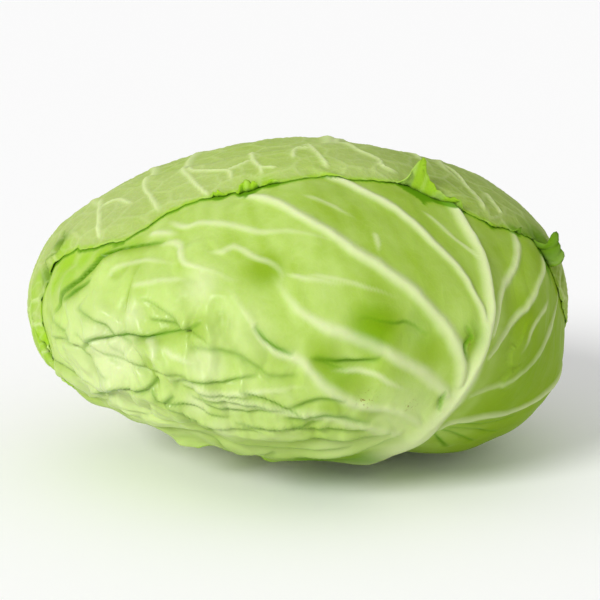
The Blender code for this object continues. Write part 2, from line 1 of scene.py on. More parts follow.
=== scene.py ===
"""Looks of a flat green cabbage head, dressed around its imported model.

The leaves are made again here at a finer spacing than in the part's source,
from the same form, outlines, ribs and folds. They get the small veins, the
wrinkles and the curled edges that the eye finds from close by. Sizes are in
metres. A place on the head is a longitude and latitude in degrees, as seen
from its middle: longitude 0 is the front, -Y, and longitude 90 is +X.
"""

import logging
import math
from dataclasses import dataclass, field
from enum import Enum
from typing import Optional, Sequence, Union

import bmesh
import bpy
import numpy as np
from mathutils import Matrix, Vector, noise
from mathutils.geometry import delaunay_2d_cdt


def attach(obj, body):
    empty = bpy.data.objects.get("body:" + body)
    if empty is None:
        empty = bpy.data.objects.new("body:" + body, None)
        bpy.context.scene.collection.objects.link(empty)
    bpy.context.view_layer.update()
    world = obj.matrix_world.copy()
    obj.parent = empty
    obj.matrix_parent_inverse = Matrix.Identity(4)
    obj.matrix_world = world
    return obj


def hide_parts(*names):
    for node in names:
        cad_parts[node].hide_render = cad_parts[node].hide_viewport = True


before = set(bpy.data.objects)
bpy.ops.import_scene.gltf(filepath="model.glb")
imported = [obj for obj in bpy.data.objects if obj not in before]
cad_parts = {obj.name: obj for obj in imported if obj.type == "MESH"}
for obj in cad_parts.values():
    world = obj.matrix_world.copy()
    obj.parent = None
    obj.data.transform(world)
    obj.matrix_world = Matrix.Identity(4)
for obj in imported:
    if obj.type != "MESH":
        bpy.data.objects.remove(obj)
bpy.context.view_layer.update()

MM = 0.001
BODY = "root"
# Without a seed of its own, Blender's vector noise takes one from the clock.
WANDER_SEED = 7
TINY = 1e-6
LOG = logging.getLogger("cabbage")

Rows = np.ndarray
Places = tuple[tuple[float, float], ...]
Pair = tuple[float, float]
Colour = tuple[float, float, float]


class Mark(Enum):
    """Names of the values that a leaf's mesh carries for its finish."""

    # Pale ribs and veins, and whitish patches that are partly painted highlights.
    VEIN = "vein"
    # Painted shade: darkens the creases of folds and the line under the top leaf's edge.
    CREASE = "crease"
    MARGIN = "margin"
    # The crumpled part, paler there, with a painted highlight on its ridge tops; it also sets the real coat.
    CRUMPLE = "crumple"
    # Partly the leaf's own darker green, partly painted shade in hollows, beside folds and on the right side.
    DEEP = "deep"
    PALE = "pale"
    STREAK = "streak"
    SCUFF = "scuff"


class Fill(Enum):
    """Which triangles Blender's triangulation keeps."""

    ALL = 0
    INSIDE = 1


def unit(rows: Rows) -> Rows:
    """Rows scaled to length 1."""
    return rows / np.linalg.norm(rows, axis=-1, keepdims=True)


def ramp(value: Rows, low: float, high: float) -> Rows:
    """Smooth step from 0 at low to 1 at high."""
    share = np.clip((value - low) / (high - low), 0.0, 1.0)
    return share * share * (3.0 - 2.0 * share)


@dataclass(frozen=True)
class Swelling:
    """A broad bump or hollow of the head: its place, spread in degrees and height in mm."""

    lon: float
    lat: float
    spread: float
    height: float


@dataclass(frozen=True)
class HeadForm:
    """The rounded form that every layer of the head follows."""

    half_size: tuple[float, float, float] = (118.0 * MM, 112.0 * MM, 69.0 * MM)
    middle_height: float = 69.0 * MM
    lowest_leaf: float = 0.6 * MM
    tallest_ridge: float = 5.0 * MM
    underside_rounding: float = 3.0 * MM
    swellings: tuple[Swelling, ...] = tuple(Swelling(*row) for row in (
        (-60, -55, 22, -12), (-90, -35, 22, 5), (-95, 30, 22, 3), (-60, 55, 22, -9),
        (0, 75, 26, 6), (60, 55, 22, -5), (95, 30, 22, 4), (90, 0, 22, -6),
        (90, -40, 22, 13), (60, -65, 20, 6), (-30, -70, 22, 6), (40, -60, 18, -9),
        (175, 5, 28, 3), (140, -35, 20, 4), (-140, -20, 22, -3), (-150, 45, 24, 3),
        (-92, -4, 24, -3),
    ))

    def aim(self, lon: float, lat: float) -> Rows:
        """Unit direction from the head's middle to a place.

        Args:
            lon: Longitude in degrees.
            lat: Latitude in degrees.

        Returns:
            The direction.
        """
        lon, lat = math.radians(lon), math.radians(lat)
        ball = (math.sin(lon) * math.cos(lat), -math.cos(lon) * math.cos(lat), math.sin(lat))
        return unit(np.array(ball) * self.half_size)

    def reach(self, way: Rows) -> Rows:
        """Distance from the middle to the plain stretched ball along directions."""
        return 1.0 / np.linalg.norm(way / self.half_size, axis=1)

    def place(self, way: Rows, lift: Union[Rows, float]) -> Rows:
        """Points on the form.

        Args:
            way: Unit directions from the head's middle.
            lift: Height above the form along each direction.

        Returns:
            One point for each direction.
        """
        far = self.reach(way)
        ball = way / self.half_size * far[:, None]
        for swelling in self.swellings:
            middle = unit(self.aim(swelling.lon, swelling.lat) / self.half_size)
            away = np.degrees(np.arccos(np.clip(ball @ middle, -1.0, 1.0)))
            far = far + swelling.height * MM * np.exp(-0.5 * (away / swelling.spread) ** 2)
        far = far + lift
        down = np.maximum(-way[:, 2], 1e-3)
        spare = np.maximum(self.tallest_ridge - lift, 0.0)
        floor = (self.middle_height - self.lowest_leaf - spare) / down
        least = np.minimum(far, floor)
        soft = self.underside_rounding
        rounded = least - soft * np.log(np.exp((least - far) / soft) + np.exp((least - floor) / soft))
        far = np.where(way[:, 2] < 0.0, rounded, far)
        return way * far[:, None] + np.array((0.0, 0.0, self.middle_height))

    def even_ways(self, step: float) -> Rows:
        """Directions spread evenly over the head.

        Args:
            step: Spacing where the head is widest.

        Returns:
            Unit directions.
        """
        count = round(4 * math.pi * (self.half_size[0] / step) ** 2)
        index = np.arange(count) + 0.5
        height = 1.0 - 2.0 * index / count
        turn = index * math.pi * (1.0 + math.sqrt(5.0))
        flat = np.sqrt(1.0 - height ** 2)
        ball = np.column_stack((flat * np.cos(turn), flat * np.sin(turn), height))
        return unit(ball * self.half_size)


FORM = HeadForm()


@dataclass(frozen=True)
class Nearby:
    """The directions near a line and how each lies to it.

    Attributes:
        rows: Numbers of the near directions.
        away: Distance from the line.
        side: +1 on the left of the line as it runs, -1 on the right.
        along: Share of the way along the line, 0 to 1.
        left: Unit direction towards the line's left.
    """

    rows: Rows
    away: Rows
    side: Rows
    along: Rows
    left: Rows


class Line:
    """A smooth line over the head through given places."""

    ROWS_AT_ONCE = 8000

    def __init__(self, places: Places, step: float = 2.5 * MM) -> None:
        """Args: places are longitudes and latitudes, and step is the length of its short runs."""
        knots = np.array([FORM.aim(lon, lat) for lon, lat in places])
        knots = np.vstack((2 * knots[0] - knots[1], knots, 2 * knots[-1] - knots[-2]))
        line = []
        for a, b, c, d in zip(knots, knots[1:], knots[2:], knots[3:]):
            count = max(2, round(np.linalg.norm(c - b) * FORM.half_size[0] / step))
            for t in np.arange(count) / count:
                line.append(0.5 * (2 * b + (c - a) * t + (2 * a - 5 * b + 4 * c - d) * t ** 2
                                   + (3 * b - a - 3 * c + d) * t ** 3))
        line.append(knots[-2])
        self.ways = unit(np.array(line))

    def near(self, way: Rows, limit: float) -> Nearby:
        """Reads the directions that lie within a limit of the line, and a few more.

        Args:
            way: Unit directions from the head's middle.
            limit: Distance beyond which a direction may be left out.

        Returns:
            How each near direction lies to the line.
        """
        start, run = self.ways[:-1], np.diff(self.ways, axis=0)
        middle = self.ways.mean(0)
        bound = np.linalg.norm(self.ways - middle, axis=1).max() + limit / FORM.half_size[2]
        rows = np.flatnonzero(np.linalg.norm(way - middle, axis=1) < bound)
        chosen = way[rows]
        away = np.empty(len(rows))
        pick = np.empty(len(rows), int)
        share = np.empty(len(rows))
        for part in np.array_split(np.arange(len(rows)), len(rows) // self.ROWS_AT_ONCE + 1):
            gap = chosen[part][:, None] - start
            t = np.clip(np.einsum("ijk,jk->ij", gap, run) / (run ** 2).sum(1), 0.0, 1.0)
            gap -= t[:, :, None] * run
            size = np.einsum("ijk,ijk->ij", gap, gap)
            pick[part] = size.argmin(1)
            order = np.arange(len(part))
            away[part] = np.sqrt(size[order, pick[part]])
            share[part] = t[order, pick[part]]
        away = away * FORM.reach(chosen)
        keep = away < limit
        rows, chosen, away, pick, share = (x[keep] for x in (rows, chosen, away, pick, share))
        left = unit(np.cross(chosen, run[pick])) if len(rows) else np.zeros((0, 3))
        side = np.sign(np.einsum("ij,ij->i", chosen - start[pick], left))
        return Nearby(rows, away, side, (pick + share) / len(run), left)


class Relief:
    """The height and the marks that features press into a leaf, over a set of directions.

    Lines wander by waves whose size and reach are given here. The gaps set the patterns of two
    seeds apart, and the gain and the depth belong to the noise.
    """

    WANDER = ((13.0 * MM, 1.1 * MM), (5.0 * MM, 0.45 * MM))
    WAVE_GAP = 17.3
    WAVE_GAIN = 1.6
    CREASE_GAP = 11.9
    CREASE_DEPTH = 2

    def __init__(self, way: Rows) -> None:
        """Starts flat and plain, with a pushed copy of the directions that makes lines wander.

        Args:
            way: Unit directions from the head's middle.
        """
        self.way = way
        self.spot = FORM.place(way, 0.0)
        push = sum(np.array([noise.noise_vector(spot) for spot in self.spot / size]) * far
                   for size, far in self.WANDER)
        self.loose = unit(way + push / FORM.half_size[0])
        self.lift = np.zeros(len(way))
        self.shift = np.zeros((len(way), 3))
        self.marks = {mark: np.zeros(len(way)) for mark in Mark}

    def add_mark(self, mark: Mark, amount: Rows, rows: Union[Rows, slice] = slice(None)) -> None:
        """Raises a mark to an amount where it is lower."""
        self.marks[mark][rows] = np.maximum(self.marks[mark][rows], amount)

    def waves(self, size: float, seed: int) -> Rows:
        """Smooth noise of features of a size over the form, about -1 to 1."""
        spots = self.spot / size + self.WAVE_GAP * seed
        return np.array([noise.noise(spot) for spot in spots]) * self.WAVE_GAIN

    def creases(self, size: float, seed: int, stretch: Sequence[float]) -> Rows:
        """Sharp-edged noise, 0 in the creases and about 1 between them.

        Args:
            size: Length of its features.
            seed: Which pattern.
            stretch: How many times longer the features are along each axis.

        Returns:
            One value for each direction.
        """
        spots = self.spot / (size * np.array(stretch)) + self.CREASE_GAP * seed
        return np.array([noise.turbulence(spot, self.CREASE_DEPTH, True) for spot in spots])


@dataclass(frozen=True)
class Rib:
    """A rounded ridge that thins towards its tip.

    Attributes:
        places: Its route.
        wide: Half its width at the root and at the tip, in mm.
        tall: Its height at the root and at the tip, in mm.
        pale: How pale it is at the root and at the tip.
        halo: Share of that paleness that spreads beside it.
        taper: Shares of its length over which it rises at the root and dies away at the tip.

    The constants are in half widths: how far it reaches, over which distances its pale mark
    ends, and how wide its halo is.
    """

    places: Places
    wide: Pair
    tall: Pair
    pale: Pair = (1.0, 0.7)
    halo: float = 0.4
    taper: Pair = (0.0, 0.3)

    REACH = 4.0
    SHOULDER = (0.1, 1.7)
    HALO_WIDE = 2.0

    def press(self, relief: Relief) -> None:
        """Raises the ridge and marks it as vein, with a pale halo.

        Args:
            relief: What takes the ridge.
        """
        near = Line(self.places).near(relief.loose, self.REACH * max(self.wide) * MM)
        if not len(near.rows):
            return
        width = (self.wide[0] + (self.wide[1] - self.wide[0]) * near.along) * MM
        height = (self.tall[0] + (self.tall[1] - self.tall[0]) * near.along) * MM
        pale = self.pale[0] + (self.pale[1] - self.pale[0]) * near.along
        rise, fall = self.taper
        ends = ramp(near.along, -TINY, rise) * ramp(1.0 - near.along, -TINY, fall)
        height, pale, width = height * ends, pale * ends, width * (0.5 + 0.5 * ends)
        share = near.away / width
        relief.lift[near.rows] = np.maximum(relief.lift[near.rows], height * np.exp(-share ** 2))
        relief.add_mark(Mark.VEIN, pale * (1.0 - ramp(share, *self.SHOULDER)), near.rows)
        relief.add_mark(Mark.PALE, self.halo * pale * np.exp(-(share / self.HALO_WIDE) ** 2), near.rows)


@dataclass(frozen=True)
class Fold:
    """A lip on the left of a route and a crease on its right. Sizes are in mm.

    Attributes:
        places: The route.
        tall: Height of the lip.
        spread: How far the lip falls away.
        deep: Depth of the crease.
        over: How far the lip leans over the crease.
        crease: Distance from the lip to the crease.
        dark: How much painted shade darkens the crease, 0 to 1.

    The distances of the constants are in widths of the crease, but for the reach, which is in
    spreads of the lip, and the least reach, which is in mm. The painted shade and the pool of
    painted shade in deeper green beside it are a distance from the lip and a width, and the
    pool has a strength too.
    """

    places: Places
    tall: float
    spread: float
    deep: float
    over: float = 1.2
    crease: float = 2.5
    dark: float = 0.8

    REACH = 4.0
    LEAST_REACH = 12.0
    CREASE_WIDE = 1.2
    LEAN_WIDE = 1.1
    SHADE = (0.75, 0.6)
    SHADE_POOL = (2.0, 2.4, 0.65)

    def press(self, relief: Relief) -> None:
        """Raises the lip, sinks the crease and leans the lip over it.

        Args:
            relief: What takes the fold.
        """
        limit = max(self.REACH * self.spread, self.LEAST_REACH) * MM
        near = Line(self.places).near(relief.loose, limit)
        if not len(near.rows):
            return
        away = near.away / MM
        fade = np.sqrt(np.clip(np.sin(math.pi * near.along), 0.0, 1.0))
        lip = self.tall * np.exp(-away / self.spread)
        crease = -self.deep * np.exp(-((away - self.crease) / (self.CREASE_WIDE * self.crease)) ** 2)
        slope = self.tall + (crease - self.tall) * ramp(away, 0.0, self.crease)
        relief.lift[near.rows] += MM * fade * np.where(near.side > 0, lip, slope)
        signed = away * near.side
        lean = self.over * fade * np.exp(-(signed / (self.LEAN_WIDE * self.crease)) ** 2) * MM
        relief.shift[near.rows] -= near.left * lean[:, None]
        # Painted shade along the crease, and a wider pool of painted shade in deeper green beside it.
        off, wide = self.SHADE
        shade = np.exp(-((signed + off * self.crease) / (wide * self.crease)) ** 2)
        relief.add_mark(Mark.CREASE, fade * self.dark * shade, near.rows)
        off, wide, strength = self.SHADE_POOL
        pool = np.exp(-((signed + off * self.crease) / (wide * self.crease)) ** 2)
        relief.add_mark(Mark.DEEP, strength * self.dark * fade * pool, near.rows)


@dataclass(frozen=True)
class Dent:
    """A round hollow, or a bump where deep is negative. Radius and depth in mm."""

    lon: float
    lat: float
    radius: float
    deep: float

    def press(self, relief: Relief) -> None:
        """Sinks the hollow.

        Args:
            relief: What takes the hollow.
        """
        gap = np.linalg.norm(relief.way - FORM.aim(self.lon, self.lat), axis=1)
        away = gap * FORM.reach(relief.way) / (self.radius * MM)
        relief.lift -= self.deep * MM * np.exp(-away ** 2)


@dataclass(frozen=True)
class Tint:
    """A soft patch of one mark. Radius in mm."""

    lon: float
    lat: float
    radius: float
    amount: float
    mark: Mark

    def press(self, relief: Relief) -> None:
        """Adds the patch to its mark.

        Args:
            relief: What takes the patch.
        """
        gap = np.linalg.norm(relief.loose - FORM.aim(self.lon, self.lat), axis=1)
        away = gap * FORM.reach(relief.way) / (self.radius * MM)
        relief.add_mark(self.mark, self.amount * np.exp(-away ** 3))


def patches(mark: Mark, *rows: tuple[float, float, float, float]) -> tuple[Tint, ...]:
    """Soft patches of one mark: longitudes, latitudes, radii in mm and amounts."""
    return tuple(Tint(*row, mark) for row in rows)


@dataclass(frozen=True)
class Ripple:
    """Repeatable unevenness: waves in random directions, added up. Sizes in mm."""

    shortest: float
    longest: float
    height: float
    seed: int
    count: int = 14

    GAIN = 1.2

    def over(self, spot: Rows) -> Rows:
        """Height of the unevenness.

        Args:
            spot: Points of the form.

        Returns:
            One height for each point.
        """
        draw = np.random.default_rng(self.seed)
        total = np.zeros(len(spot))
        for _ in range(self.count):
            wave = 2 * math.pi / (draw.uniform(self.shortest, self.longest) * MM)
            total += np.sin(spot @ (unit(draw.normal(size=3)) * wave) + draw.uniform(0, 2 * math.pi))
        return total * self.height * MM * self.GAIN / math.sqrt(self.count)


@dataclass(frozen=True)
class Curl:
    """A curled stretch of a leaf's margin.

    Attributes:
        lon: Longitude of its middle.
        lat: Latitude of its middle.
        profile: Places along the margin, in mm from the middle towards larger
            bearings, each with the width in mm of the band that curls there.
        bend: Radius of the bend, in mm.
        turn: Turn of the bend in degrees.
        crinkle: Height of the small waves in its edge, in mm.
    """

    lon: float
    lat: float
    profile: tuple[Pair, ...]
    bend: float
    turn: float
    crinkle: float

    def band(self, along: Rows) -> Rows:
        """Width of the band in metres at places along the margin in metres."""
        spots, wide = zip(*self.profile)
        return np.interp(along / MM, spots, wide, 0.0, 0.0) * MM


def hump(half: float, wide: float) -> tuple[Pair, ...]:
    """Profile of a curl that swells evenly to a width over half its length, both in mm."""
    shares = np.linspace(-1.0, 1.0, 17)
    return tuple((half * s, wide * (1.0 - abs(s) ** 1.5)) for s in shares)


class Outline:
    """A leaf's edge, as an angle from its centre for each bearing round that centre.

    The rags are waves in the edge: how many there are round the leaf, and how high they are in mm.
    """

    RAGS = ((6.0, 1.6), (15.0, 1.5), (34.0, 1.1), (70.0, 0.6))
    RAG_PLACES = 4096
    EDGE_PLACES = 12000

    def __init__(self, centre: Pair, places: Places, curls: Sequence[Curl] = ()) -> None:
        """Args: centre and places are longitudes and latitudes."""
        self.pole = FORM.aim(*centre)
        self.east = unit(np.cross((0.0, 0.0, 1.0), self.pole))
        self.north = np.cross(self.pole, self.east)
        bearing, angle = self.polar(np.array([FORM.aim(*place) for place in places]))
        order = np.argsort(bearing)
        self.bearings, self.angles = bearing[order], angle[order]
        self.curls = [(self.polar(FORM.aim(curl.lon, curl.lat)[None])[0][0], curl) for curl in curls]
        self.turns = np.linspace(-math.pi, math.pi, self.RAG_PLACES, endpoint=False)
        pattern = np.full(self.RAG_PLACES, centre[0] / 10.0)
        ring = np.column_stack((np.cos(self.turns), np.sin(self.turns), pattern))
        self.rag = MM / FORM.half_size[0] * sum(
            np.array([noise.noise((x * count, y * count, z)) for x, y, z in ring]) * high
            for count, high in self.RAGS)

    def polar(self, way: Rows) -> tuple[Rows, Rows]:
        """Bearing and angle of directions as the centre sees them."""
        x, y = way @ self.east, way @ self.north
        return np.arctan2(y, x), np.arccos(np.clip(way @ self.pole, -1.0, 1.0))

    def direction(self, bearing: Rows, angle: Rows) -> Rows:
        """Unit directions at bearings and angles."""
        out = np.cos(bearing)[:, None] * self.east + np.sin(bearing)[:, None] * self.north
        return np.cos(angle)[:, None] * self.pole + np.sin(angle)[:, None] * out

    def edge(self, bearing: Rows) -> Rows:
        """Angle of the ragged edge, or of the fold where it curls."""
        return (np.interp(bearing, self.bearings, self.angles, period=2 * math.pi)
                + np.interp(bearing, self.turns, self.rag, period=2 * math.pi))

    def curl(self, bearing: Rows) -> tuple[Rows, Rows, Rows, Rows]:
        """Reads the curled band.

        Args:
            bearing: Bearings round the leaf's centre.

        Returns:
            The band's width, bend radius, turn and crinkle at each bearing.
        """
        angle = self.edge(bearing)
        far = FORM.reach(self.direction(bearing, angle)) * np.sin(angle)
        band, bend, turn, crinkle = (np.zeros(len(bearing)) + start for start in (0.0, MM, 0.0, 0.0))
        for middle, curl in self.curls:
            along = ((bearing - middle + math.pi) % (2 * math.pi) - math.pi) * far
            wide = curl.band(along)
            share = wide / (max(width for _, width in curl.profile) * MM)
            band = band + wide
            bend = np.where(share > 0, curl.bend * MM, bend)
            turn = np.where(share > 0, math.radians(curl.turn) * np.minimum(1.0, 2 * share), turn)
            crinkle = np.where(share > 0, curl.crinkle * MM * np.minimum(1.0, 2 * share), crinkle)
        return band, bend, turn, crinkle

    def inside(self, way: Rows) -> Rows:
        """Distance inside the edge along the bearing, negative outside."""
        bearing, angle = self.polar(way)
        return (self.edge(bearing) - angle) * FORM.reach(way)

    def room(self, way: Rows) -> Rows:
        """Distance inside the edge, or inside the far side of a curled band."""
        bearing, angle = self.polar(way)
        return (self.edge(bearing) - angle) * FORM.reach(way) + self.curl(bearing)[0]

    def flatten(self, way: Rows) -> Rows:
        """Lays directions flat about the leaf's centre without changing small shapes.

        Args:
            way: Unit directions from the head's middle.

        Returns:
            Flat points.
        """
        bearing, angle = self.polar(way)
        out = np.tan(angle / 2.0)
        return np.column_stack((np.cos(bearing) * out, np.sin(bearing) * out))

    def raised(self, flat: Rows) -> tuple[Rows, Rows]:
        """Bearings and angles of flattened points."""
        bearing = np.arctan2(flat[:, 1], flat[:, 0])
        return bearing, 2.0 * np.arctan(np.hypot(flat[:, 0], flat[:, 1]))

    def edge_ways(self, step: float) -> Rows:
        """Directions along the edge.

        Args:
            step: Spacing along the edge.

        Returns:
            Unit directions.
        """
        bearing = np.linspace(-math.pi, math.pi, self.EDGE_PLACES + 1)[:-1]
        fold = self.edge(bearing)
        far = FORM.reach(self.direction(bearing, fold))
        edge = self.direction(bearing, fold + self.curl(bearing)[0] / far)
        place = FORM.place(edge, 0.0)
        travelled = np.cumsum(np.linalg.norm(np.roll(place, -1, axis=0) - place, axis=1))
        marks = np.arange(0.0, travelled[-1] - step / 2, step)
        return edge[np.unique(np.searchsorted(travelled, marks))]


@dataclass(frozen=True)
class VeinNet:
    """A raised net of small veins between seeds that are spread over a leaf. Sizes in mm.

    Seeds scatter by a share of a cell. The reach and the shoulder are in widths of a vein.
    """

    cell: float
    height: float
    wide: float
    seed: int
    pale: float

    SCATTER = 0.3
    REACH = 4.0
    SHOULDER = (0.4, 1.3)

    def press(self, relief: Relief, outline: Outline, fade: Union[Rows, float] = 1.0) -> None:
        """Raises the strands.

        Args:
            relief: What takes the strands.
            outline: Edge of the leaf that the net grows in.
            fade: How much of the net each direction gets.
        """
        draw = np.random.default_rng(self.seed)
        ball = FORM.even_ways(self.cell * MM)
        push = draw.normal(size=ball.shape) * self.SCATTER * self.cell * MM
        seeds = unit(ball + push / FORM.half_size[0])
        seeds = seeds[outline.inside(seeds) > -self.cell * MM]
        flat = [Vector(point) for point in outline.flatten(seeds)]
        flat, _, faces, _, _, _ = delaunay_2d_cdt(flat, [], [], Fill.ALL.value, TINY)
        middles = np.array([tuple(sum((flat[i] for i in face), Vector((0, 0))) / 3) for face in faces])
        knots = outline.direction(*outline.raised(middles))
        owners: dict[frozenset, list[int]] = {}
        for number, face in enumerate(faces):
            for pair in zip(face, face[1:] + face[:1]):
                owners.setdefault(frozenset(pair), []).append(number)
        strands = np.array(sorted(pair for pair in owners.values() if len(pair) == 2))
        start, end = knots[strands].transpose(1, 0, 2)
        away = self.strand_distance(relief.loose, start, end)
        share = away / (self.wide * MM)
        relief.lift = np.maximum(relief.lift, self.height * MM * np.exp(-share ** 2) * fade)
        relief.add_mark(Mark.VEIN, self.pale * (1.0 - ramp(share, *self.SHOULDER)) * fade)

    def strand_distance(self, way: Rows, start: Rows, end: Rows) -> Rows:
        """Distance from directions to the nearest of the strands that may be near them.

        Args:
            way: Unit directions from the head's middle.
            start: Where each strand starts.
            end: Where it ends.

        Returns:
            One distance for each direction.
        """
        run = end - start
        middle = (start + end) / 2
        best = np.full(len(way), 1.0)
        bound = np.linalg.norm(run, axis=1) / 2 + self.REACH * self.wide * MM / FORM.half_size[2]
        order = np.argsort(way[:, 2])
        heights = way[order, 2]
        for one, half, core, dash in zip(start, bound, middle, run):
            low, high = np.searchsorted(heights, (core[2] - half, core[2] + half))
            rows = order[low:high]
            rows = rows[np.linalg.norm(way[rows] - core, axis=1) < half]
            if not len(rows):
                continue
            gap = way[rows] - one
            t = np.clip(gap @ dash / (dash @ dash), 0.0, 1.0)
            best[rows] = np.minimum(best[rows], np.linalg.norm(gap - t[:, None] * dash, axis=1))
        return best * FORM.reach(way)


class Socket:
    """A shader socket that takes part in Python arithmetic."""

    def __init__(self, graph: "Graph", link: bpy.types.NodeSocket) -> None:
        """Wraps an output socket of a graph."""
        self.graph = graph
        self.link = link

    def maths(self, operation: str, *values: "Input") -> "Socket":
        """A Math node of an operation on values."""
        return self.graph.node("ShaderNodeMath", {"operation": operation}, dict(enumerate(values)))

    def __add__(self, other: "Input") -> "Socket":
        """The sum."""
        return self.maths("ADD", self, other)

    __radd__ = __add__

    def __sub__(self, other: "Input") -> "Socket":
        """The difference."""
        return self.maths("SUBTRACT", self, other)

    def __rsub__(self, other: "Input") -> "Socket":
        """The difference, the other way round."""
        return self.maths("SUBTRACT", other, self)

    def __mul__(self, other: "Input") -> "Socket":
        """The product."""
        return self.maths("MULTIPLY", self, other)

    __rmul__ = __mul__

    def __truediv__(self, other: "Input") -> "Socket":
        """The quotient."""
        return self.maths("DIVIDE", self, other)

    def __pow__(self, other: "Input") -> "Socket":
        """The power."""
        return self.maths("POWER", self, other)

    def most(self, other: "Input") -> "Socket":
        """The larger of two values."""
        return self.maths("MAXIMUM", self, other)

    def least(self, other: "Input") -> "Socket":
        """The smaller of two values."""
        return self.maths("MINIMUM", self, other)

    def split(self) -> tuple["Socket", ...]:
        """The three parts of a vector."""
        made = self.graph.node("ShaderNodeSeparateXYZ", None, {"Vector": self})
        return tuple(Socket(self.graph, out) for out in made.link.node.outputs)

    def ramp(self, low: float, high: float) -> "Socket":
        """Smooth step from 0 at low to 1 at high."""
        limits = {"Value": self, "From Min": low, "From Max": high}
        return self.graph.node("ShaderNodeMapRange", {"interpolation_type": "SMOOTHSTEP"}, limits)


Input = Union[Socket, float, Sequence[float]]


class Graph:
    """The node tree of one material."""

    def __init__(self, name: str, **shader: Input) -> None:
        """Starts a material.

        Args:
            name: Name of the material.
            shader: Constants for the shader's own sockets.
        """
        self.material = bpy.data.materials.new(name)
        self.material.use_nodes = True
        self.tree = self.material.node_tree
        self.shader = self.tree.nodes["Principled BSDF"]
        self.where = self.node("ShaderNodeTexCoord", output="Object")
        for socket, value in shader.items():
            self.set(socket.replace("_", " "), value)

    def set(self, socket: str, value: Input) -> None:
        """Gives a socket of the shader a constant or a link."""
        self.fill(self.shader.inputs[socket], value)

    def fill(self, socket: bpy.types.NodeSocket, value: Input) -> None:
        """Gives any socket a constant or a link.

        Args:
            socket: The socket.
            value: What it gets.
        """
        if isinstance(value, Socket):
            self.tree.links.new(value.link, socket)
        elif socket.type == "RGBA":
            socket.default_value = (*value, 1.0)
        else:
            socket.default_value = value

    def node(self, kind: str, settings: Optional[dict] = None, inputs: Optional[dict] = None,
             output: Union[int, str] = 0) -> Socket:
        """Adds a node.

        Args:
            kind: Blender's name for the type of node.
            settings: Its options, which are set first.
            inputs: Values or links by socket name or number.
            output: The socket to return.

        Returns:
            The chosen output.
        """
        made = self.tree.nodes.new(kind)
        for name, value in (settings or {}).items():
            setattr(made, name, value)
        for name, value in (inputs or {}).items():
            self.fill(made.inputs[name], value)
        return Socket(self, made.outputs[output])

    def mark(self, mark: Mark) -> Socket:
        """A value that the mesh carries."""
        return self.node("ShaderNodeAttribute", {"attribute_name": mark.value}, output="Fac")

    def noise(self, size: float, detail: float, rough: float = 0.5,
              where: Optional[Socket] = None) -> Socket:
        """Noise of features about a size across, 0 to 1."""
        return self.node("ShaderNodeTexNoise", None, {
            "Vector": where or self.where, "Scale": 1.0 / size, "Detail": detail, "Roughness": rough})

    def borders(self, size: float, where: Socket) -> Socket:
        """Distance from the borders of random cells about a size across."""
        return self.node("ShaderNodeTexVoronoi", {"feature": "DISTANCE_TO_EDGE"}, {
            "Vector": where, "Scale": 1.0 / size})

    def warped(self, size: float, amount: float) -> Socket:
        """Object coordinates pushed about by noise.

        Args:
            size: Size of the noise.
            amount: How far it pushes.

        Returns:
            The pushed coordinates.
        """
        push = self.node("ShaderNodeTexNoise", None, {
            "Vector": self.where, "Scale": 1.0 / size, "Detail": 2.0}, output="Color")
        centred = self.node("ShaderNodeVectorMath", {"operation": "SUBTRACT"}, {0: push, 1: (0.5,) * 3})
        scaled = self.node("ShaderNodeVectorMath", {"operation": "SCALE"}, {0: centred, "Scale": amount})
        return self.node("ShaderNodeVectorMath", {"operation": "ADD"}, {0: self.where, 1: scaled})

    def mix(self, share: Input, low: Input, high: Input) -> Socket:
        """Colour between low and high by a share."""
        return self.node("ShaderNodeMix", {"data_type": "RGBA", "clamp_factor": True},
                         {0: share, 6: low, 7: high}, output=2)

    def bump(self, height: Input, strength: float, distance: float) -> Socket:
        """Normal of a surface with small heights."""
        return self.node("ShaderNodeBump", None, {
            "Height": height, "Strength": strength, "Distance": distance})


